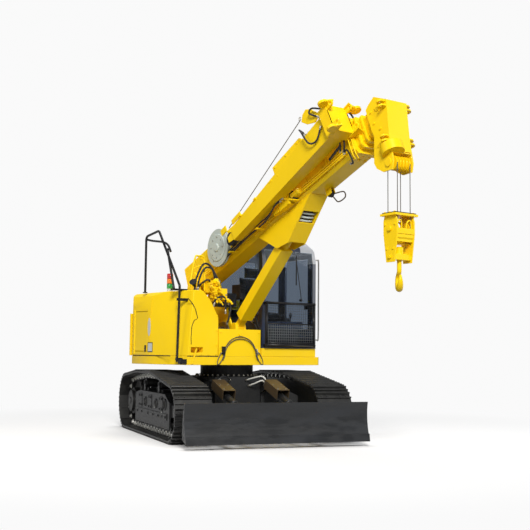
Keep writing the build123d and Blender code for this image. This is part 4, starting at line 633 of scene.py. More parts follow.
class CRANE_OT_skins(bpy.types.Operator):
    """Give every solid of the frame its finish and soft edges"""

    bl_idname = "crane.skins"
    bl_label = "Main pieces"

    def execute(self, context):
        make_finishes(context.scene.crane_colours)
        for finish, bevel, angle, nodes in SKINS:
            for node in nodes.split():
                dress(node, finish, bevel, angle)
        for node, finish in KEPT.items():
            materials = frame["nodes"][node].data.materials
            materials.clear()
            materials.append(FINISHES[finish])
        return {"FINISHED"}


# Repeated pieces, grown with geometry nodes


class Tree:
    """A geometry node tree with named inputs that ends in plain faces with one finish."""

    def __init__(self, name, **inputs):
        self.tree = bpy.data.node_groups.new(name, "GeometryNodeTree")
        new_socket = self.tree.interface.new_socket
        for label, kind in {"Geometry": "Geometry", **inputs, "Finish": "Material"}.items():
            new_socket(label, in_out="INPUT", socket_type="NodeSocket" + kind)
        new_socket("Geometry", in_out="OUTPUT", socket_type="NodeSocketGeometry")
        self.start = self.tree.nodes.new("NodeGroupInput").outputs

    def node(self, kind, settings=None, inputs=None):
        return add_node(self.tree, kind, settings, inputs).outputs[0]

    def times(self, label, factor):
        return self.node("ShaderNodeMath", {"operation": "MULTIPLY"}, {0: self.start[label], 1: factor})

    def cylinder(self, sides, radius, depth):
        inputs = {"Vertices": sides, "Radius": radius, "Depth": depth}
        return self.node("GeometryNodeMeshCylinder", {"fill_type": "NGON"}, inputs)

    def end(self, geometry):
        real = self.node("GeometryNodeRealizeInstances", None, {"Geometry": geometry})
        done = self.node("GeometryNodeSetMaterial", None, {"Geometry": real, "Material": self.start["Finish"]})
        add_node(self.tree, "NodeGroupOutput", None, {"Geometry": done})
        return self.tree


def stud_tree():
    """A head on a washer at each point, facing along the point's own direction."""
    t = Tree("stud_rows", Width="Float", Height="Float", Sides="Int", Seed="Int")
    head = t.cylinder(t.start["Sides"], t.times("Width", 0.5), t.start["Height"])
    lift = t.node("ShaderNodeCombineXYZ", None, {2: t.times("Height", 0.5)})
    head = t.node("GeometryNodeTransform", None, {"Geometry": head, "Translation": lift})
    washer = t.cylinder(12, t.times("Width", 0.82), t.times("Height", 0.3))
    both = t.node("GeometryNodeJoinGeometry", None, {0: head})
    t.tree.links.new(washer, both.node.inputs[0])
    spread = {0: (0, 0, 0), 1: (0, 0, 1.0), "Seed": t.start["Seed"]}
    spin = t.node("FunctionNodeRandomValue", {"data_type": "FLOAT_VECTOR"}, spread)
    spin = t.node("FunctionNodeEulerToRotation", None, {0: spin})
    facing = t.node("GeometryNodeInputNamedAttribute", {"data_type": "FLOAT_VECTOR"}, {"Name": "facing"})
    turn = t.node("FunctionNodeAlignRotationToVector", {"axis": "Z"}, {"Rotation": spin, "Vector": facing})
    rows = {"Points": t.start["Geometry"], "Instance": both, "Rotation": turn}
    return t.end(t.node("GeometryNodeInstanceOnPoints", None, rows))


def coil_tree():
    """A bar wound in close turns about the Z axis."""
    t = Tree("rope_turns", Turns="Float", Radius="Float", Length="Float", Bar="Float")
    spiral = {"Start Radius": t.start["Radius"], "End Radius": t.start["Radius"]}
    spiral |= {"Resolution": 28, "Rotations": t.start["Turns"], "Height": t.start["Length"]}
    line = t.node("GeometryNodeCurveSpiral", None, spiral)
    section = t.node("GeometryNodeCurvePrimitiveCircle", None, {"Resolution": 7, "Radius": t.start["Bar"]})
    rope = t.node("GeometryNodeCurveToMesh", None, {"Curve": line, "Profile Curve": section, "Fill Caps": True})
    return t.end(t.node("GeometryNodeSetShadeSmooth", None, {"Geometry": rope}))


TREES = {}


def grown(name, make_tree, values, base, body, place=GROUND):
    """Grow a tree on a base mesh and keep the result as a plain piece."""
    if make_tree not in TREES:
        TREES[make_tree] = make_tree()
    source = linked(name + "_base", base)
    modifier = source.modifiers.new("grow", "NODES")
    modifier.node_group = TREES[make_tree]
    for item in modifier.node_group.interface.items_tree:
        if item.in_out == "INPUT" and item.name in values:
            modifier[item.identifier] = values[item.name]
    bpy.context.view_layer.update()
    graph = bpy.context.evaluated_depsgraph_get()
    data = bpy.data.meshes.new_from_object(source.evaluated_get(graph), depsgraph=graph)
    source.modifiers.clear()
    bpy.data.objects.remove(source)
    data.name = name
    data.transform(place)
    made = linked(name, data)
    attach(made, body)


def studs(name, body, finish, places, width, height, matrix=UPPER, sides=6):
    """One stud at each (point, direction), both given in the frame."""
    base = bpy.data.meshes.new(name + "_base")
    base.from_pydata([matrix @ Vector(point) for point, _ in places], [], [])
    facing = base.attributes.new("facing", "FLOAT_VECTOR", "POINT")
    for i, (_, direction) in enumerate(places):
        facing.data[i].vector = matrix.to_3x3() @ Vector(direction)
    values = {"Width": width, "Height": height, "Sides": sides, "Seed": len(places), "Finish": FINISHES[finish]}
    grown(name, stud_tree, values, base, body)


def ring_of(centre, axis, radius, count):
    """Places on a circle, all facing along its axis."""
    return [(point, axis) for point in circle(Vector(centre), *around(axis), radius, count)]


def row(first, last, count, facing):
    """Places on a straight run."""
    return [(Vector(first).lerp(Vector(last), i / (count - 1)), facing) for i in range(count)]


# Undercarriage: wheels and rollers as y, z and pitch radius

IDLER = (-1.35, 0.39, 0.31)
SPROCKET = (1.35, 0.43, 0.35)
CARRIERS = ((-0.299, 0.735, 0.111), (0.56, 0.735, 0.111))
SIDES = (("right", -1), ("left", 1))
LINK_PITCH = 0.174124
TRACK_X = 0.995
FRAME_X = 1.145
INNER_PLATE_X = 0.84
INNER_PLATE = [
    (-1.3, 0.3), (1.1, 0.3), (1.24, 0.68), (0.9, 0.78), (0.56, 0.82),
    (-0.3, 0.82), (-0.8, 0.79), (-1.11, 0.755), (-1.3, 0.72), (-1.45, 0.6),
]


def belt_points(step):
    """Evenly spaced places on the chain's pitch line, as (y, z, outward y, outward z)."""
    circles = [IDLER, *CARRIERS, SPROCKET]
    leans = []
    for (y1, z1, r1), (y2, z2, r2) in zip(circles, circles[1:]):
        leans.append(atan2(z2 - z1, y2 - y1) + pi / 2 + (r2 - r1) / hypot(y2 - y1, z2 - z1))
    route = []
    for (y, z, r), first, last, count in zip(circles, [1.5 * pi, *leans], [*leans, -pi / 2], (40, 30, 30, 30)):
        for i in range(count + 1):
            a = first + (last - first) * i / count
            route.append((y + r * cos(a), z + r * sin(a)))
    places = []
    left = 0.0
    for (y1, z1), (y2, z2) in zip(route, route[1:] + route[:1]):
        span = hypot(y2 - y1, z2 - z1)
        ahead = ((y2 - y1) / span, (z2 - z1) / span)
        while left < span:
            places.append((y1 + ahead[0] * left, z1 + ahead[1] * left, -ahead[1], ahead[0]))
            left += step
        left -= span
    return places


class CRANE_OT_track_pins(bpy.types.Operator):
    """Add chain pins and shoe bolts to both tracks"""

    bl_idname = "crane.track_pins"
    bl_label = "Track pins and bolts"

    def execute(self, context):
        belt = belt_points(LINK_PITCH)
        for name, side in SIDES:
            x = side * TRACK_X
            pins = [((x + edge * 0.079, y, z), (edge, 0, 0)) for y, z, _, _ in belt for edge in (-1, 1)]
            bolts = []
            for y, z, out_y, out_z in belt:
                for across in (-0.18, -0.1, 0.1, 0.18):
                    bolts.append(((x + across, y + out_y * 0.057, z + out_z * 0.057), (0, out_y, out_z)))
            # The pins' near-white finish paints in the glints on the pin ends
            studs("track_pins_" + name, "undercarriage", "pin", pins, 0.046, 0.024, GROUND, 10)
            studs("shoe_bolts_" + name, "undercarriage", "track", bolts, 0.026, 0.014, GROUND)
        return {"FINISHED"}


class CRANE_OT_track_frames(bpy.types.Operator):
    """Add side plates, dark ovals of painted shade for openings, pale blocks of painted light for slots, inner
    plates, hub caps and bolts to the track frames
    """

    bl_idname = "crane.track_frames"
    bl_label = "Track frame plates"

    def execute(self, context):
        for name, side in SIDES:
            facing = (side, 0, 0)
            out = side * FRAME_X
            made = Piece("under", GROUND)
            made.block((out, -0.95, 0.27), (out + side * 0.012, 0.84, 0.36))
            for y in (-0.62, 0.02, 0.62):
                web = [(y - 0.09, 0.38), (y + 0.09, 0.38), (y + 0.07, 0.58), (y - 0.07, 0.58)]
                made.plate("X", web, out, out + side * 0.008)
            # The openings are flat dark ovals on the plate, painted shade for their insides, with raised rims
            # round them
            made.use("gap")
            for y, z, long, high in ((-0.32, 0.47, 0.1, 0.03), (0.33, 0.47, 0.1, 0.03), (-0.82, 0.48, 0.05, 0.05)):
                made.plate("X", oval((y, z), (long, high)), out, out + side * 0.003)
            made.use("under")
            for y, z, radius in ((-0.82, 0.48, 0.07), (-0.32, 0.47, 0.06), (0.33, 0.47, 0.06)):
                made.ring((out + side * 0.004, y, z), (1, 0, 0), radius, 0.012, 28)
            # Pale blocks painted where bright slots show in the frame: painted light
            made.use("white")
            for y, z, long, high in ((-0.233, 0.437, 0.022, 0.03), (-0.64, 0.4, 0.014, 0.085)):
                made.block((out, y - long, z - high), (out + side * 0.004, y + long, z + high))
            made.finish("track_frame_plates_" + name, "undercarriage", "dark", 0.003)

            inner = Piece("under", GROUND)
            x = side * INNER_PLATE_X
            inner.plate("X", INNER_PLATE, x, x + side * 0.012)
            for y in (-0.75, 0.1, 0.95):
                inner.block((x, y - 0.012, 0.32), (x + side * 0.05, y + 0.012, 0.62))
            inner.finish("track_inner_plates_" + name, "undercarriage", "dark", 0.002)

            foot = (-0.9, -0.7, -0.5, -0.2, 0.1, 0.5, 0.78)
            places = [((out + side * 0.012, y, 0.315), facing) for y in foot]
            for y in (-0.62, 0.02, 0.62):
                for z, along in ((0.41, 0.06), (0.41, -0.06), (0.55, 0.05), (0.55, -0.05)):
                    places.append(((out + side * 0.008, y + along, z), facing))
            studs("track_frame_bolts_" + name, "undercarriage", "under", places, 0.03, 0.016, GROUND)

            hubs = Piece("track", GROUND)
            for y, z, _ in (IDLER, SPROCKET):
                cap = [(0, 0.085), (0.55, 0.085), (0.6, 0.06), (1, 0.055)]
                hubs.boss("X", (side * 1.115, y, z), side * 0.043, cap, 28)
            hubs.finish("track_hubs_" + name, "undercarriage", "dark", 0.003)
            places = ring_of((side * 1.135, *IDLER[:2]), facing, 0.07, 6)
            places += ring_of((side * 1.08, *SPROCKET[:2]), facing, 0.15, 12)
            studs("track_hub_bolts_" + name, "undercarriage", "plated", places, 0.02, 0.012, GROUND)
        return {"FINISHED"}


# Across the lift cylinder and above it
LIFT_GUARD = [
    (-0.09, -0.02), (-0.09, 0.115), (0.09, 0.115), (0.09, -0.02),
    (0.082, -0.02), (0.082, 0.107), (-0.082, 0.107), (-0.082, -0.02),
]
LIFT_HOSES = [
    [(0.12, -0.53, 0.8), (0.2, -0.66, 0.84), (0.3, -0.72, 0.86), (0.36, -0.74, 0.8)],
    [(0.16, -0.53, 0.72), (0.22, -0.64, 0.76), (0.3, -0.7, 0.8), (0.34, -0.73, 0.77)],
]


class CRANE_OT_chassis(bpy.types.Operator):
    """Add ring bolts, cylinder guards, pins and hoses to the centre frame"""

    bl_idname = "crane.chassis"
    bl_label = "Centre frame details"

    def execute(self, context):
        places = ring_of((0, 0, 0.862), UPWARD, 0.45, 36)
        studs("slew_ring_bolts", "undercarriage", "plated", places, 0.022, 0.02, GROUND)
        lift = Vector((0, -1.285, -0.335)).normalized()
        over = Vector((0, -0.335, 1.285)).normalized()
        for name, side in SIDES:
            barrel = "blade_barrel_" + name
            x, y, z = side * 0.39, -0.7, 0.735
            start = Vector((x, y, z))
            guard = Piece("bronze", GROUND)
            ends = [start + lift * reach for reach in (0.1, 0.62)]
            shape = [Vector((across, 0, 0)) + over * rise for across, rise in LIFT_GUARD]
            guard.hull([[end + corner for corner in shape] for end in ends])
            guard.finish("lift_guard_" + name, barrel, "dark", 0.002)
            top = start + over * 0.115
            places = [(top + lift * t + Vector((e, 0, 0)), over) for t in (0.36, 0.56) for e in (-0.06, 0.06)]
            studs("lift_guard_bolts_" + name, barrel, "plated", places, 0.02, 0.01, GROUND)
            gland = Piece("under", GROUND)
            ring = [(0, 0.052), (0.2, 0.06), (0.8, 0.06), (1, 0.045)]
            gland.turned(start + lift * 0.83, start + lift * 0.9, ring)
            gland.finish("lift_gland_" + name, barrel, "dark")
            pin = Piece("plated", GROUND)
            pin.boss("X", (x - 0.06, y, z), 0.12, rounded(0.026, 0.03, 0.006), 18)
            pin.finish("lift_pins_" + name, "undercarriage", "steel")
            runs = [[(side * x, y, z) for x, y, z in run] for run in LIFT_HOSES]
            hoses("lift_hoses_" + name, "undercarriage", runs, GROUND, "white" if side > 0 else "rubber")
        return {"FINISHED"}


class CRANE_OT_blade(bpy.types.Operator):
    """Add the weld beads beside the blade's arms"""

    bl_idname = "crane.blade_edge"
    bl_label = "Blade welds"

    def execute(self, context):
        made = Piece("blade", GROUND)
        for x in (-0.7, -0.58, 0.58, 0.7):
            made.rod((x, -2.06, 0.16), (x, -2.06, 0.5), 0.008, 8)
        made.finish("blade_welds", "blade", "dark")
        return {"FINISHED"}


# Superstructure


class CRANE_OT_lamp(bpy.types.Operator):
    """Build the signal lamp with coloured lenses"""

    bl_idname = "crane.lamp"
    bl_label = "Signal lamp"

    def execute(self, context):
        made = Piece("clear")
        x, y, z = -1.01, -0.03, 2.0503
        made.boss("Z", (x, y, z), 0.05, [(0, 0.046), (0.3, 0.04), (1, 0.04)])
        for low, high, finish in ((0.05, 0.12, "green"), (0.122, 0.192, "amber"), (0.194, 0.262, "red")):
            made.use(finish).boss("Z", (x, y, z + low), high - low, rounded(0.045, 0.05, 0.004), 32)
        made.use("black")
        for low in (0.119, 0.191):
            made.rod((x, y, z + low), (x, y, z + low + 0.004), 0.043, 24)
        made.use("red").boss("Z", (x, y, z + 0.262), 0.007, [(0, 0.043), (0.6, 0.036), (1, 0.012)], 32)
        done = made.finish("signal_lamp_lenses", "upper", "lamp")
        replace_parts(done, "signal_lamp")
        return {"FINISHED"}


class CRANE_OT_housing(bpy.types.Operator):
    """Add seams, plates, latch, rails, horn and bolts to the housings"""

    bl_idname = "crane.housing"
    bl_label = "Housing details"

    def execute(self, context):
        front = -0.7
        gaps = Piece("gap")
        gaps.seam([(-1.098, front, 1.142), (-0.6, front, 1.142)], OUT_FRONT, 0.014)
        gaps.seam([(-1.24, 0.62, 1.142), (-1.24, -0.48, 1.142)], OUT_RIGHT, 0.014)
        upper = [(-1.1, 1.93), (-1.03, 1.86), (-0.98, 1.78), (-0.955, 1.7), (-0.945, 1.66)]
        lower = [(-0.95, 1.655), (-1, 1.63), (-1.035, 1.55), (-1.045, 1.4), (-1.04, 1.3)]
        for curve, width in ((upper, 0.012), (lower, 0.01)):
            gaps.seam([(x, front, z) for x, z in curve], OUT_FRONT, width)
        gaps.finish("housing_seams", "upper", "black")

        plates = Piece("plate")
        plates.plate("X", oval((0.142, 1.55), (0.042, 0.13), 28), -1.2405, -1.2425)
        plates.use("black").block((-1.2415, 0.03, 1.19), (-1.2403, 0.175, 1.33))
        plates.use("plate").block((-1.2425, 0.042, 1.202), (-1.2415, 0.163, 1.318))
        plates.finish("blank_plates", "upper", "grey", 0.0006)

        latch = Piece("black")
        latch.block((-1.252, 0.222, 1.225), (-1.24, 0.258, 1.29))
        latch.boss("X", (-1.24, 0.24, 1.21), -0.016, eased(0.014, 0.01), 16)
        latch.finish("side_door_latch", "side_door", "black", 0.003)

        rail = Piece("body")
        up = [(-0.95, 2.06), (-0.925, 2.17), (-0.853, 2.52), (-0.8, 2.555)]
        down = [(-0.72, 2.55), (-0.7, 2.5), (-0.69, 2.25), (-0.685, 2.06)]
        rail.pipe([(x, -0.45, z) for x, z in up + down], 0.013, 10, 5)
        rail.rod((-0.862, -0.45, 2.38), (-0.7, -0.45, 2.44), 0.008, 8)
        rail.block((-0.99, -0.48, 2.0503), (-0.9, -0.42, 2.062))
        rail.finish("yellow_rail", "upper", "yellow", 0.002)

        step = Piece("body")
        ends = ((-1.02, -0.701, 1.03), (-0.96, -0.703, 1.25))
        strap = ((-0.012, 0), (0.012, 0), (0.012, -0.01), (-0.012, -0.01))
        step.hull([[(x + across, y + along, z) for across, along in strap] for x, y, z in ends])
        step.use("black").block((-1.2, -0.69, 1.035), (-1.1, -0.62, 1.1))
        step.pipe([(-1.18, -0.6, 1.09), (-1.18, -0.62, 1.06), (-1.16, -0.66, 1.04)], 0.016, 10)
        step.finish("step_strap", "upper", "yellow", 0.002)

        inner = Piece("black")
        bend = ((0.4, 2.84), (0.2, 2.8), (-0.1, 2.755), (-0.25, 2.7), (-0.33, 2.6))
        inner.pipe([(-1.18, y, z) for y, z in bend], 0.016, 10, 6)
        inner.finish("handrail_inner", "upper", "black")

        horn = Piece("black")
        horn.turned((-0.93, -0.58, 2.12), (-0.98, -0.62, 2.17), [(0, 0.025), (0.6, 0.035), (1, 0.055)])
        horn.rod((-0.93, -0.58, 2.05), (-0.93, -0.58, 2.13), 0.012)
        horn.finish("horn", "upper", "black")

        places = row((-1.2405, 0.6, 1.17), (-1.2405, 0.6, 1.72), 5, OUT_RIGHT)
        places += row((-1, -0.7005, 1.17), (-0.64, -0.7005, 1.17), 4, OUT_FRONT)
        places += row((-0.63, -0.7005, 1.3), (-0.63, -0.7005, 1.9), 4, OUT_FRONT)
        studs("housing_bolts", "upper", "body", places, 0.022, 0.008)

        handles = Piece("black")
        grip = ((-0.07, 2.03), (-0.065, 2.07), (0.065, 2.07), (0.07, 2.03))
        for x in (-0.75, 0.75):
            handles.pipe([(x + across, 1.02, z) for across, z in grip], 0.009)
        handles.finish("hood_handles", "engine_hood", "black")
        return {"FINISHED"}


class CRANE_OT_box_front(bpy.types.Operator):
    """Add the wire sling, its holders and bolts on the front box"""

    bl_idname = "crane.box_front"
    bl_label = "Front box and sling"

    def execute(self, context):
        middle, y = -0.235, -0.705
        turns = [pi - pi * i / 12 for i in range(13)]
        arc = [(middle + 0.27 * cos(a), y - 0.008, 1.17 + 0.25 * sin(a)) for a in turns]
        route = [(middle - 0.3, y - 0.01, 1.12), *arc, (middle + 0.3, y - 0.01, 1.12)]
        made = Piece("rope")
        made.pipe(route, 0.006)
        made.pipe([(x, along - 0.006, z - 0.03) for x, along, z in route], 0.006)
        for edge in (-1, 1):
            x, lean = middle + edge * 0.335, edge * 0.5
            loop = []
            for i in range(11):
                a = pi / 2 + 2 * pi * i / 10
                u, v = 0.032 * cos(a), 0.1 * sin(a)
                across, rise = u * cos(lean) - v * sin(lean), v * cos(lean) + u * sin(lean)
                loop.append((x + across, y - 0.012, 1.115 + rise))
            made.use("rope").pipe(loop, 0.0065)
            low, high = (x - edge * 0.035, y - 0.012, 1.17), (x - edge * 0.06, y - 0.012, 1.25)
            made.use("plated").turned(low, high, rounded(0.013, 0.1, 0.005), 12)
        made.finish("wire_sling", "upper", "rope")
        holders = Piece("body")
        holders.boss("Y", (middle, -0.68, 1.45), -0.045, stepped(0.016, 0.026, 0.026, 0.7), 18)
        holders.use("black").block((-0.545, -0.735, 1.17), (-0.5, -0.69, 1.28))
        holders.finish("sling_holders", "upper", "yellow", 0.003)
        places = [((x, -0.7003, z), OUT_FRONT) for x in (-0.56, 0.09) for z in (1.2, 1.48)]
        studs("front_box_bolts", "upper", "body", places, 0.024, 0.01)
        return {"FINISHED"}


WINCH_HOSES = [
    [
        (-0.8, -0.45, 2.07), (-0.79, -0.47, 2.22), (-0.72, -0.5, 2.38),
        (-0.6, -0.5, 2.38), (-0.55, -0.5, 2.26), (-0.52, -0.5, 2.2),
    ],
    [
        (-0.83, -0.42, 2.07), (-0.82, -0.45, 2.25), (-0.72, -0.46, 2.44),
        (-0.6, -0.46, 2.42), (-0.5, -0.5, 2.24), (-0.47, -0.5, 2.2),
    ],
    [
        (-0.77, -0.38, 2.07), (-0.74, -0.44, 2.16), (-0.66, -0.5, 2.22),
        (-0.6, -0.5, 2.16), (-0.58, -0.5, 2.12),
    ],
    [
        (-0.63, -0.6, 1.85), (-0.6, -0.63, 1.95), (-0.5, -0.66, 1.98),
        (-0.45, -0.64, 1.9), (-0.44, -0.62, 1.75),
    ],
]
FOOT_HOSES = [
    [(-0.44, -0.66, 1.6), (-0.43, -0.69, 1.66), (-0.4, -0.69, 1.8), (-0.385, -0.66, 1.86), (-0.4, -0.6, 1.9)],
    [(0.04, -0.62, 1.72), (0.05, -0.67, 1.7), (0.08, -0.68, 1.6), (0.11, -0.66, 1.54), (0.11, -0.6, 1.5)],
    [(0.03, -0.6, 1.66), (0.04, -0.66, 1.6), (0.06, -0.67, 1.55), (0.09, -0.64, 1.5), (0.09, -0.58, 1.46)],
]


class CRANE_OT_winch(bpy.types.Operator):
    """Wind rope on the winch and add the valves, control block and hoses beside it"""

    bl_idname = "crane.winch"
    bl_label = "Winch, valves and hoses"

    def execute(self, context):
        place = UPPER @ pose((-0.305, 0.01, 1.47), "Y", 90)
        values = {"Turns": 17.0, "Radius": 0.1, "Length": 0.21, "Bar": 0.006, "Finish": FINISHES["rope"]}
        base = bpy.data.meshes.new("winch_rope_base")
        grown("winch_rope", coil_tree, values, base, "winch_drum", place)

        made = Piece("boom")
        made.block((-0.56, -0.6, 1.92), (-0.4, -0.44, 2.1))
        made.block((-0.67, -0.57, 2.04), (-0.57, -0.44, 2.18))
        for i in range(46):
            u, v, w, size = ((i * factor) % 1 for factor in (0.618, 0.755, 0.434, 0.31))
            start = Vector((-0.67 + (0.29 - 0.22 * v) * u, -0.56 - 0.05 * w, 1.92 + 0.28 * v))
            r, reach = 0.014 + 0.018 * size, 0.04 + 0.05 * w
            aim = Vector((0.9 * (u - 0.5), -1, 0.9 * (v - 0.5))).normalized() * reach
            if i % 3 == 0:
                made.turned(start, start + aim, stepped(r, r * 0.7, r * 0.65), 12)
            elif i % 3 == 1:
                made.turned(start, start + aim * 0.8, [(0, r), (1, r)], 6, smooth=False)
                end = start + aim * 1.2 + Vector((0.02, 0, -0.03))
                made.pipe([start + aim * 0.7, start + aim * 1.1, end], r * 0.5)
            else:
                made.block(start + Vector((-r, -reach * 0.7, -r * 0.8)), start + Vector((r, 0.02, r * 0.8)))
        made.finish("valve_cluster", "upper", "yellow", 0.003)
        places = [((-0.51 + 0.04 * i, -0.622, 1.95 + 0.03 * (i % 3)), OUT_FRONT) for i in range(4)]
        places += [((-0.6 + 0.03 * i, -0.56, 2.0), OUT_FRONT) for i in range(3)]
        studs("valve_bolts", "upper", "plated", places, 0.018, 0.012)
        hoses("winch_hoses", "upper", WINCH_HOSES, radius=0.014)
        block = Piece("black")
        block.block((0.01, -0.32, 1.98), (0.1, -0.1, 2.2))
        block.block((-0.36, -0.3, 1.86), (-0.04, -0.14, 2.06))
        for z in (2.09, 2.13, 2.17):
            block.rod((0.01, -0.33, z), (0.1, -0.33, z), 0.008, 8)
        block.finish("control_block", "upper", "black", 0.006)
        hoses("cylinder_foot_hoses", "upper", FOOT_HOSES, radius=0.014)
        return {"FINISHED"}


class CRANE_OT_cab(bpy.types.Operator):
    """Add the grab rail, wiper, wire guard, inner trim and door handle of the cab"""

    bl_idname = "crane.cab"
    bl_label = "Cab details"

    def execute(self, context):
        rail = Piece("steel")
        upper = [(1.128, -0.665, 2.6), (1.165, -0.69, 2.6), (1.182, -0.7, 2.56), (1.182, -0.7, 2)]
        rail.pipe(upper + [(1.182, -0.7, 1.44), (1.165, -0.69, 1.4), (1.128, -0.665, 1.4)], 0.011, 10, 4)
        rail.finish("cab_grab_rail", "upper", "steel")

        made = Piece("black")
        arm = [(0.84, -0.706, 1.98), (0.84, -0.722, 1.99), (0.78, -0.722, 2.35), (0.74, -0.722, 2.58)]
        made.pipe(arm, 0.006)
        made.block((0.735, -0.728, 2.2), (0.75, -0.718, 2.64))
        made.boss("Y", (0.84, -0.7, 1.98), -0.03, [(0, 0.022), (1, 0.016)], 16)
        made.finish("wiper", "upper", "black")

        # Guard before the lower windscreen: a rounded frame, its feet and two fields of wire
        left, right, low, middle, top, y = 0.18, 1.05, 1.31, 1.62, 1.92, -0.76
        corners = [(x, z) for x in (left, right) for z in (low, top)]
        guard = Piece("black")
        for z, thick in ((low, 0.019), (top, 0.019), (1.345, 0.009), (middle, 0.009)):
            guard.rod((left, y, z), (right, y, z), thick, 14)
        for x in (left, right):
            guard.rod((x, y, low), (x, y, top), 0.019, 14)
        for x, z in corners:
            foot = [(0, 0.02), (0.05, 0.024), (0.3, 0.024), (0.35, 0.016), (1, 0.016)]
            guard.boss("Y", (x, y - 0.02, z), 0.0795, foot, 16)
        for z1, z2, wire, finish in ((low, middle, 0.0042, "wire"), (middle, top, 0.002, "plastic")):
            guard.use(finish)
            columns, rows = 22, 8
            for i in range(1, columns):
                x = left + (right - left) * i / columns
                guard.rod((x, y, z1), (x, y, z2), wire, 5)
            for i in range(1, rows):
                z = z1 + (z2 - z1) * i / rows
                guard.rod((left, y - 0.004, z), (right, y - 0.004, z), wire, 5)
        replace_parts(guard.finish("guard_mesh", "upper", "black"), "front_guard")
        studs("guard_bolts", "upper", "black", [((x, -0.7805, z), OUT_FRONT) for x, z in corners], 0.022, 0.01)

        trim = Piece("gap")
        trim.seam([(0.15, -0.7003, 1.285), (1.12, -0.7003, 1.285)], OUT_FRONT, 0.01)
        trim.use("plastic")
        for y in (-0.46, -0.3):
            trim.rod((0.42, y, 1.31), (0.42, y, 1.312), 0.01, 8)
        for x in (0.55, 0.75):
            trim.plate("X", [(-0.56, 1.33), (-0.44, 1.33), (-0.38, 1.43), (-0.5, 1.36)], x, x + 0.08)
            x += 0.04
            trim.rod((x, -0.47, 1.36), (x, -0.52, 1.72), 0.011, 10)
            trim.turned((x, -0.52, 1.72), (x, -0.525, 1.8), [(0, 0.014), (0.5, 0.022), (1, 0.012)], 14)
        trim.use("navy").block((0.3, -0.6, 1.56), (0.96, -0.52, 1.66))
        trim.finish("cab_trim", "upper", "plastic", 0.004)

        handle = Piece("black")
        handle.block((1.13, -0.58, 1.86), (1.142, -0.42, 1.93))
        grip = ((1.142, -0.56), (1.158, -0.55), (1.158, -0.45), (1.142, -0.44))
        handle.pipe([(x, y, 1.895) for x, y in grip], 0.007)
        handle.finish("cab_door_handle", "cab_door", "black", 0.003)
        return {"FINISHED"}


class CRANE_OT_seat(bpy.types.Operator):
    """Build the operator's seat with padded cushions"""

    bl_idname = "crane.seat"
    bl_label = "Operator's seat"

    def execute(self, context):
        middle = 0.655
        pads = [
            cushion("seat_cushion", (middle, 0.02, 1.76), (0.25, 0.25, 0.06)),
            cushion("seat_back", (middle, 0.3, 2.08), (0.24, 0.06, 0.28)),
            cushion("seat_headrest", (middle, 0.33, 2.44), (0.13, 0.045, 0.08)),
        ]
        base = Piece("plastic")
        base.block((middle - 0.2, -0.16, 1.52), (middle + 0.2, 0.24, 1.66))
        base.block((middle - 0.16, -0.12, 1.31), (middle + 0.16, 0.2, 1.5))
        base.use("rubber")
        for i in range(5):
            z, half = 1.5 + 0.008 * i, 0.17 + 0.004 * (i % 2)
            base.block((middle - half, -0.13, z), (middle + half, 0.21, z + 0.006))
        base.use("steel")
        for x in (middle - 0.05, middle + 0.05):
            base.rod((x, 0.33, 2.3), (x, 0.33, 2.4), 0.006, 8)
        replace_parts(base.finish("seat_base", "upper", "seat", 0.006), "operator_seat")
        return {"FINISHED"}


def cushion(name, centre, size):
    """A crowned closed pad whose sides pull in between its corners, with two sewn channels."""
    mesh = bmesh.new()
    thin = size.index(min(size))
    wide = [i for i in range(3) if i != thin]
    bmesh.ops.create_cube(mesh, size=2.0)
    bmesh.ops.subdivide_edges(mesh, edges=mesh.edges, cuts=18, use_grid_fill=True)
    for vertex in mesh.verts:
        u, v, t = vertex.co[wide[0]], vertex.co[wide[1]], vertex.co[thin]
        crown = (1 - u**4) * (1 - v**4)
        channel = 0.12 * sum(2.718 ** (-((u + edge) * 14) ** 2) for edge in (-0.45, 0.45))
        side = 1 - 0.06 * t * t
        place = Vector(centre)
        place[wide[0]] += u * (1 - 0.05 * (1 - v * v)) * side * size[wide[0]]
        place[wide[1]] += v * (1 - 0.05 * (1 - u * u)) * side * size[wide[1]]
        place[thin] += t * (0.45 + 0.55 * crown) * (1 - channel * crown) * size[thin]
        vertex.co = UPPER @ place
    bmesh.ops.recalc_face_normals(mesh, faces=mesh.faces)
    for face in mesh.faces:
        face.smooth = True
    data = bpy.data.meshes.new(name)
    mesh.to_mesh(data)
    mesh.free()
    data.materials.append(FINISHES["seat"])
    made = linked(name, data)
    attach(made, "upper")
    return made


# Boom

BOOM_HOSES = [
    [
        (-0.3, -2.58, -0.05), (-0.33, -2.5, -0.04), (-0.3, -2.2, -0.1),
        (-0.26, -1.7, -0.06), (-0.24, -1.2, -0.09), (-0.26, -0.75, 0),
    ],
    [
        (-0.3, -2.52, -0.05), (-0.33, -2.42, -0.07), (-0.29, -2.1, -0.13),
        (-0.25, -1.6, -0.1), (-0.24, -1.1, -0.12), (-0.25, -0.7, -0.04),
    ],
    [
        (-0.3, -2.46, -0.05), (-0.32, -2.38, -0.01), (-0.27, -2, -0.05),
        (-0.235, -1.55, -0.02), (-0.22, -1, -0.05), (-0.23, -0.62, 0.04),
    ],
    [
        (-0.196, -3.75, -0.05), (-0.23, -3.82, -0.03), (-0.24, -3.86, 0.08),
        (-0.22, -3.84, 0.2), (-0.19, -3.8, 0.26),
    ],
    [
        (-0.196, -3.75, -0.08), (-0.235, -3.85, -0.08), (-0.25, -3.9, -0.2),
        (-0.22, -3.88, -0.28), (-0.18, -3.8, -0.24),
    ],
    [
        (-0.196, -3.7, -0.02), (-0.25, -3.78, 0.02), (-0.27, -3.84, 0.14),
        (-0.25, -3.86, 0.26), (-0.19, -3.84, 0.31),
    ],
]
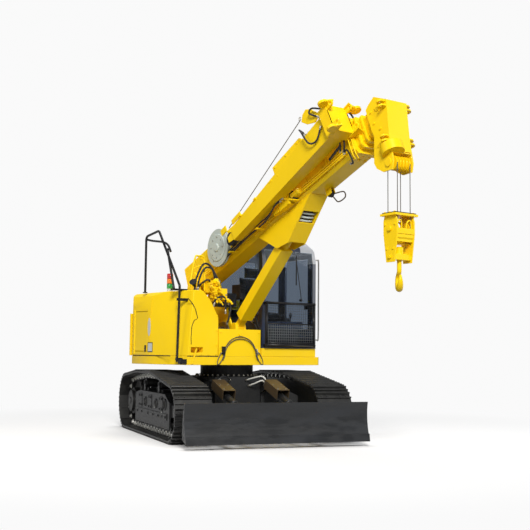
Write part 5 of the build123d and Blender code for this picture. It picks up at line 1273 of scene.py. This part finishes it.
ROPE_LOOP = [
    (0.1, -3.02, -0.155), (0.2, -2.98, -0.2), (0.24, -3, -0.27),
    (0.24, -3.14, -0.28), (0.18, -3.2, -0.24), (0.09, -3.12, -0.235),
]
ROPE_FORK = [
    (-0.03, 0.3), (-0.02, 0.36), (-0.012, 0.36), (-0.012, 0.31),
    (0.012, 0.31), (0.012, 0.36), (0.02, 0.36), (0.03, 0.3),
]


class CRANE_OT_boom(bpy.types.Operator):
    """Add pipes, brackets, pads and the rope along the boom"""

    bl_idname = "crane.boom"
    bl_label = "Boom details"

    def execute(self, context):
        made = Piece("boom", BOOM)
        for y in (-1.25, -1.62, -2.05, -2.5, -2.95, -3.4):
            made.block((-0.188, y - 0.02, -0.11), (-0.17, y + 0.02, 0.06))
        for z, r in ((-0.095, 0.011), (-0.065, 0.011), (-0.03, 0.008)):
            route = ((-0.35, z + 0.02), (-0.7, z), (-3.5, z), (-3.75, z + 0.01))
            made.pipe([(-0.196, y, height) for y, height in route], r, 10)
        made.block((-0.26, -2.62, -0.14), (-0.172, -2.4, 0.02))
        made.block((-0.25, -2.36, -0.12), (-0.172, -2.24, -0.02))
        for y in (-2.58, -2.52, -2.46):
            made.boss("X", (-0.255, y, -0.05), -0.045, stepped(0.022, 0.016, 0.014), 16)
        made.boss("Y", (-0.215, -2.66, -0.06), -0.18, [(0, 0.03), (0.05, 0.042), (0.9, 0.042), (1, 0.02)], 20)
        for y in (-2.7, -1.9, -1.2):
            ear = [(-0.172, y - 0.03), (-0.32, y - 0.02), (-0.32, y + 0.02), (-0.172, y + 0.03)]
            made.plate("Z", ear, -0.145, -0.13)
        made.use("black").block((-0.24, -2.72, -0.13), (-0.175, -2.64, 0))
        made.finish("boom_side_fittings", "boom", "yellow", 0.003)
        hoses("boom_hoses", "boom", BOOM_HOSES, BOOM)

        pipes = Piece("boom", BOOM)
        for x, y in ((-0.2, -3.93), (-0.225, -3.9), (0.2, -3.92)):
            route = [(x, y, 0.25), (x, y - 0.01, 0.1), (x, y - 0.015, -0.15), (x * 0.8, y, -0.24)]
            pipes.pipe(route, 0.008, 8, 4)
        for x in (-0.2, 0.2):
            for low, high in ((0.02, 0.07), (-0.12, -0.07)):
                pipes.block((x - 0.012, -3.95, low), (x + 0.012, -3.88, high))
        pipes.finish("boom_tip_pipes", "boom", "yellow", 0.002)

        loop = Piece("black", BOOM)
        spool = [(0, 0.05), (0.2, 0.05), (0.3, 0.036), (0.7, 0.036), (0.8, 0.05), (1, 0.05)]
        loop.boss("X", (0.05, -3.08, -0.215), 0.04, spool).use("boom")
        for x in (0.035, 0.095):
            loop.block((x, -3.13, -0.235), (x + 0.01, -3.03, -0.15))
        loop.use("bronze").pipe(ROPE_LOOP, 0.009, 8, 5)
        loop.finish("rope_loop_bracket", "boom", "yellow", 0.002)

        places = []
        for side in (-1, 1):
            for y in (-0.3, -0.6, -3.6, -3.8):
                places += [((side * 0.1705, y, z), (side, 0, 0)) for z in (-0.08, 0.22)]
        for y in (-3.78, -3.86):
            for x in (-0.1, 0.0, 0.1):
                places += [((x, y, 0.3005), UPWARD), ((x, y, -0.1505), (0, 0, -1))]
        studs("boom_bolts", "boom", "boom", places, 0.03, 0.014, BOOM)

        rope = Piece("rope", BOOM)
        rope.rod((0, 0.2, 0.335), (0, -3.93, 0.335), 0.006, 8)
        rope.use("boom")
        for y in (0, -1.3, -2.6, -3.85):
            rope.plate("Y", ROPE_FORK, y, y - 0.02)
        rope.finish("boom_rope", "boom", "rope")

        tubes = Piece("grey", BOOM)
        for y, z in ((-2.645, -0.274), (-2.595, -0.304), (-2.55, -0.329)):
            tubes.pipe([(-0.11, y, z), (0, y - 0.006, z - 0.01), (0.11, y, z)], 0.015, 10)
        pad = [(-2.64, -0.205), (-2.63, -0.2), (-2.48, -0.285), (-2.49, -0.29)]
        tubes.use("rubber").plate("X", pad, -0.125, 0.125)
        tubes.finish("wedge_tubes", "boom", "grey")
        return {"FINISHED"}


# In the jib's frame: the fin's outline, the hoop across the top and the hoses
JIB_FIN = [
    (-2.06, 0.37), (-2.12, 0.44), (-2.2, 0.462), (-2.28, 0.4),
    (-2.4, 0.23), (-2.28, 0.19), (-2.14, 0.27),
]
JIB_HOOP = [(-0.07, 0.215), (-0.07, 0.275), (-0.045, 0.3), (0.045, 0.3), (0.07, 0.275), (0.07, 0.215)]
JIB_HOSES = [
    [
        (-0.1, -2.37, 0.2), (-0.15, -2.28, 0.32), (-0.15, -2.34, 0.35),
        (-0.14, -2.44, 0.27), (-0.15, -2.5, 0.2), (-0.14, -2.42, 0.12),
    ],
    [
        (-0.03, -2, 0.22), (-0.1, -1.98, 0.3), (-0.15, -2.04, 0.22),
        (-0.15, -2.1, 0), (-0.13, -2.22, -0.05), (-0.12, -2.36, 0.06),
    ],
    [(0.2, -2.42, 0.16), (0.25, -2.5, 0.24), (0.3, -2.52, 0.18), (0.31, -2.5, 0.06), (0.26, -2.46, -0.04)],
    [(0.19, -2.4, 0.1), (0.23, -2.46, 0.2), (0.27, -2.48, 0.14), (0.29, -2.46, 0), (0.24, -2.42, -0.08)],
]


def jib_ear(made, stations, far, radius, low, high):
    """A flat arm through stations of (x, z, half depth) that ends in a drum at x far, between two heights."""
    y = -2.6
    rings = []
    for x, z, half in stations:
        rings.append([(x, y - half, z), (x, y + half, z), (x, y + half, z + 0.022), (x, y - half, z + 0.022)])
    made.hull(rings)
    made.turned((far, y, low), (far, y, high), rounded(radius, 0.06, 0.003), 28)


class CRANE_OT_jib(bpy.types.Operator):
    """Add ears, hoop, fin, hoses, valve and wire to the stowed jib"""

    bl_idname = "crane.jib"
    bl_label = "Jib details"

    def execute(self, context):
        made = Piece("boom", JIB)
        for z, reach, tip in ((0.19, 0.3, 0.196), (-0.185, 0.29, -0.175)):
            arm = [(0.12, z, 0.1), (0.2, z + (tip - z) * 0.5, 0.065), (reach, tip, 0.045)]
            jib_ear(made, arm, reach + 0.01, 0.068, tip - 0.006, tip + 0.028)
            jib_ear(made, [(-0.12, z, 0.1), (-0.19, z + 0.01, 0.06)], -0.21, 0.065, z - 0.006, z + 0.03)
        made.plate("X", JIB_FIN, -0.107, -0.093)
        made.pipe([(x, -2.47, z) for x, z in JIB_HOOP], 0.011, 10, 4)
        for y in (-0.35, -0.75, -1.15, -2.0):
            made.block((-0.09, y - 0.03, 0.1), (0.09, y + 0.03, 0.125))
        made.block((-0.075, 0.02, 0.11), (-0.06, 0.16, 0.2))
        made.block((-0.06, -0.35, 0.12), (-0.045, -0.12, 0.19))
        made.finish("jib_fittings", "boom", "yellow", 0.004)

        dark = Piece("plated", JIB)
        dark.ring((-0.1, -2.05, 0.43), (1, 0, 0), 0.02, 0.006, 20)
        dark.use("rope").rod((-0.1, -2.05, 0.41), (-0.02, 0.02, 0.16), 0.006, 8)
        dark.use("black").block((-0.05, -1.25, 0.06), (0.05, -1.235, 0.27))
        dark.rod((0.12, -2.08, -0.2), (0.12, -2.33, -0.17), 0.016, 12)
        for k in range(4):
            start, reach = (-0.02, -1.93 - 0.035 * k, 0.13), 0.1 + 0.02 * (k % 2)
            dark.boss("Z", start, reach, stepped(0.016, 0.011, 0.01), 12)
        dark.block((-0.06, -2.06, 0.12), (0.05, -1.9, 0.17))
        dark.finish("jib_dark_fittings", "boom", "black", 0.002)

        hoses("jib_hoses", "boom", JIB_HOSES, JIB, radius=0.012)
        places = [((x, -2.5803, z), OUT_FRONT) for x in (-0.14, 0.14) for z in (-0.14, 0.19)]
        places += [((-0.0783, y, z), OUT_RIGHT) for y in (-1.32, -1.58, -1.84) for z in (0.09, 0.22)]
        studs("jib_bolts", "boom", "boom", places, 0.024, 0.01, JIB)

        reel = Piece("grey")
        x, y, z = -0.462, -0.42, 2.7
        reel.boss("X", (x, y, z), -0.012, [(0, 0.2), (0.5, 0.2), (1, 0.19)], 40)
        reel.boss("X", (x - 0.012, y, z), -0.018, [(0, 0.06), (0.7, 0.055), (1, 0.045)], 28)
        reel.finish("reel_cover", "boom", "grey", 0.002)
        studs("reel_bolts", "boom", "plated", ring_of((x - 0.012, y, z), OUT_RIGHT, 0.15, 8), 0.014, 0.006)
        return {"FINISHED"}


class CRANE_OT_head(bpy.types.Operator):
    """Add eyes, rope guards, axle caps and bolts to the boom head"""

    bl_idname = "crane.head"
    bl_label = "Boom head details"

    def execute(self, context):
        made = Piece("plated", BOOM)
        for x in (-0.213, 0.213):
            for y, z in ((-4.45, -0.318), (-4.45, -0.256), (-4.55, 0.097), (-4.55, 0.159)):
                made.ring((x, y, z), UPWARD, 0.026, 0.005, 24, 6)
        made.use("boom")
        for y, z in ((-4.462, -0.465), (-4.27, -0.47)):
            made.rod((-0.155, y, z), (0.155, y, z), 0.009, 12)
        for x in (-0.178, 0.159):
            for y, z, radius in ((*HEAD_AXLE[1:], 0.05), (-4.45, 0.15, 0.045)):
                made.rod((x, y, z), (x + 0.019, y, z), radius, 24)
        made.finish("head_fittings", "boom_section_5", "yellow", 0.002)
        places = []
        for side in (-1, 1):
            for y, z in ((-4.33, 0.15), (-4.33, 0), (-4.4, -0.12), (-4.36, -0.4), (-4.3, -0.3)):
                places.append(((side * 0.1655, y, z), (side, 0, 0)))
        studs("head_bolts", "boom_section_5", "boom", places, 0.026, 0.012, BOOM)
        return {"FINISHED"}


# Across a cover, away from the block's middle and above the axle
COVER_ARCH = [
    (-0.04, 0.074, 0), (-0.03, 0.084, 0.075), (0, 0.089, 0.1), (0.03, 0.084, 0.075), (0.04, 0.074, 0),
]


class CRANE_OT_hook(bpy.types.Operator):
    """Add the block's axle caps, covers, lid pad and bolts"""

    bl_idname = "crane.hook_details"
    bl_label = "Hook block details"

    def execute(self, context):
        axle = -0.77
        made = Piece("boom", HANG)
        for side in (-1, 1):
            made.boss("X", (side * 0.143, 0, axle), side * 0.022, eased(0.03, 0.024), 20)
            made.boss("X", (side * 0.143, 0, axle - 0.325), side * 0.022, eased(0.022, 0.016), 18)
        made.finish("block_pins", "hook_block", "steel", 0.002)

        cover = Piece("boom", HANG)
        for side in (-1, 1):
            rings = []
            for rise, reach in ((-0.15, -0.03), (-0.1, 0), (-0.02, 0.002), (0, -0.006)):
                back, face, z = side * 0.092, side * (0.104 + reach), axle + rise
                rings.append([(-0.128, back, z), (0.128, back, z), (0.128, face, z), (-0.128, face, z)])
            cover.hull(rings)
            for x in (-0.075, 0.075):
                route = [(x + across, side * y, axle + rise) for across, y, rise in COVER_ARCH]
                cover.pipe(route, 0.011, 8, 5)
        for z in (axle - 0.29, axle - 0.17):
            cover.block((-0.128, -0.05, z - 0.006), (0.128, 0.05, z + 0.006))
        cover.finish("block_covers", "hook_block", "yellow", 0.003)

        lid = Piece("rubber", HANG)
        low, high = axle + 0.1765, axle + 0.19
        for near, far in ((-0.112, -0.09), (0.09, 0.112)):
            lid.block((-0.165, near, low), (0.165, far, high))
        for left, right in ((-0.165, -0.13), (0.13, 0.165)):
            lid.block((left, -0.112, low), (right, 0.112, high))
        lid.finish("block_lid_pad", "hook_block", "black", 0.003)
        places = [((x, y, high), UPWARD) for x in (-0.148, 0.148) for y in (-0.08, 0, 0.08)]
        cheek = ((-0.08, -0.72), (0.08, -0.72), (-0.05, -1.0), (0.05, -1.0))
        places += [((side * 0.142, y, z), (side, 0, 0)) for side in (-1, 1) for y, z in cheek]
        studs("block_bolts", "hook_block", "boom", places, 0.022, 0.01, HANG)
        return {"FINISHED"}


# Stage

BACKDROP = (0.955, 0.955, 0.955, 1)
IMAGE_WIDTH = 530
FOCAL_PIXELS = 934
SENSOR = 36.0
# Place, aim, size, power and colour of each soft lamp
LAMPS = {
    "key_lamp": ((-7, -26, 17), (0, -1, 1.8), 9, 9000, (1, 0.98, 0.95)),
    "far_side_lamp": ((-12, -3, 6), (0, 0, 1.8), 6, 300, (1, 0.97, 0.92)),
    "side_lamp": ((11, -6, 6), (0, 0, 1.5), 6, 380, (0.97, 0.98, 1)),
    "top_lamp": ((0, 1, 13), (0, 0, 1), 7, 820, (1, 1, 1)),
}


class CRANE_OT_stage(bpy.types.Operator):
    """Set a pale floor, soft lights and the camera"""

    bl_idname = "crane.stage"
    bl_label = "Stage"

    def execute(self, context):
        context.scene.view_settings.view_transform = "Standard"
        lay_floor()
        context.scene.world = pale_world()
        for name, (place, aim, size, power, colour) in LAMPS.items():
            light = bpy.data.lights.new(name, "AREA")
            light.shape = "DISK"
            light.size = size
            light.energy = power
            light.color = colour
            lamp = linked(name, light)
            lamp.location = place
            lamp.rotation_euler = (Vector(aim) - Vector(place)).to_track_quat("-Z", "Y").to_euler()
        context.scene.camera = placed_camera()
        return {"FINISHED"}


def lay_floor():
    """A floor that fades to the backdrop's white away from the machine."""
    floor = bpy.data.meshes.new("studio_floor")
    reach = 60
    corners = [(-reach, -reach, 0), (reach, -reach, 0), (reach, reach, 0), (-reach, reach, 0)]
    floor.from_pydata(corners, [], [(0, 1, 2, 3)])
    f = Finish("pale_floor", Roughness=0.9)
    away = f.number("Value", "ShaderNodeVectorMath", {"operation": "LENGTH"}, {0: f.coordinates()})
    path = f.node("ShaderNodeLightPath").outputs
    kinds = ("Is Camera Ray", "Is Glossy Ray", "Is Transmission Ray")
    camera, glossy, through = (Number(f, path[kind]) for kind in kinds)
    seen = f.clip(camera + glossy + through)
    f.set(Base_Color=f.mix(seen, rgb(124, 122, 118), rgb(240, 240, 240)))
    white = f.node("ShaderNodeEmission", None, {"Color": BACKDROP, "Strength": 1.0})
    far = {0: seen * f.between(away, 2.5, 7.5), 1: f.shader.outputs[0], 2: white.outputs[0]}
    both = f.node("ShaderNodeMixShader", None, far)
    f.tree.links.new(both.outputs[0], f.output.inputs["Surface"])
    floor.materials.append(f.material)
    linked("studio_floor", floor)


def pale_world():
    """Soft blue light, with a plain backdrop where the camera sees it."""
    world = bpy.data.worlds.new("studio_air")
    world.use_nodes = True
    tree = world.node_tree
    tree.nodes.clear()
    path = add_node(tree, "ShaderNodeLightPath")
    lit, plain = (
        add_node(tree, "ShaderNodeBackground", None, {"Color": colour, "Strength": strength})
        for colour, strength in (((0.93, 0.96, 1, 1), 0.22), (BACKDROP, 1.0))
    )
    inputs = {0: path.outputs["Is Camera Ray"], 1: lit.outputs[0], 2: plain.outputs[0]}
    mix = add_node(tree, "ShaderNodeMixShader", None, inputs)
    add_node(tree, "ShaderNodeOutputWorld", None, {"Surface": mix.outputs[0]})
    return world


def placed_camera():
    """The photograph's view, as yaw, pitch and roll from the forward axis."""
    camera = bpy.data.cameras.new("studio_camera")
    camera.sensor_width = SENSOR
    camera.lens = FOCAL_PIXELS / IMAGE_WIDTH * SENSOR
    camera.clip_end = 200
    yaw, pitch, roll = radians(20.4), radians(5.4), radians(0.57)
    ahead = Vector((sin(yaw) * cos(pitch), cos(yaw) * cos(pitch), sin(pitch)))
    right = Vector((cos(yaw), -sin(yaw), 0))
    over = right.cross(ahead)
    across = right * cos(roll) + over * sin(roll)
    upward = over * cos(roll) - right * sin(roll)
    turn = Matrix((across, upward, -ahead)).transposed().to_4x4()
    viewer = linked("studio_camera", camera)
    viewer.matrix_world = Matrix.Translation((-4.36, -13.32, 1.19)) @ turn
    return viewer


class CRANE_PT_panel(bpy.types.Panel):
    """The crane's pieces, in the order in which they are made"""

    bl_idname = "CRANE_PT_panel"
    bl_label = "Crane"
    bl_space_type = "VIEW_3D"
    bl_region_type = "UI"
    bl_category = "Crane"

    def draw(self, context):
        for name in ("body", "frame", "blade", "cab"):
            self.layout.prop(context.scene.crane_colours, name)
        self.layout.prop(context.scene.crane_sizes, "hose")
        for made in OPERATORS:
            self.layout.operator(made.bl_idname)


OPERATORS = [
    CRANE_OT_skins,
    CRANE_OT_track_pins,
    CRANE_OT_track_frames,
    CRANE_OT_chassis,
    CRANE_OT_blade,
    CRANE_OT_lamp,
    CRANE_OT_housing,
    CRANE_OT_box_front,
    CRANE_OT_winch,
    CRANE_OT_cab,
    CRANE_OT_seat,
    CRANE_OT_boom,
    CRANE_OT_jib,
    CRANE_OT_head,
    CRANE_OT_hook,
    CRANE_OT_stage,
]


def register():
    for made in [CraneColours, CraneSizes, *OPERATORS, CRANE_PT_panel]:
        bpy.utils.register_class(made)
    bpy.types.Scene.crane_colours = bpy.props.PointerProperty(type=CraneColours)
    bpy.types.Scene.crane_sizes = bpy.props.PointerProperty(type=CraneSizes)


def unregister():
    del bpy.types.Scene.crane_sizes
    del bpy.types.Scene.crane_colours
    for made in [CRANE_PT_panel, *reversed(OPERATORS), CraneSizes, CraneColours]:
        bpy.utils.unregister_class(made)


def main():
    register()
    for made in OPERATORS:
        group, name = made.bl_idname.split(".")
        getattr(getattr(bpy.ops, group), name)()
    bpy.context.view_layer.update()


if __name__ == "__main__":
    main()
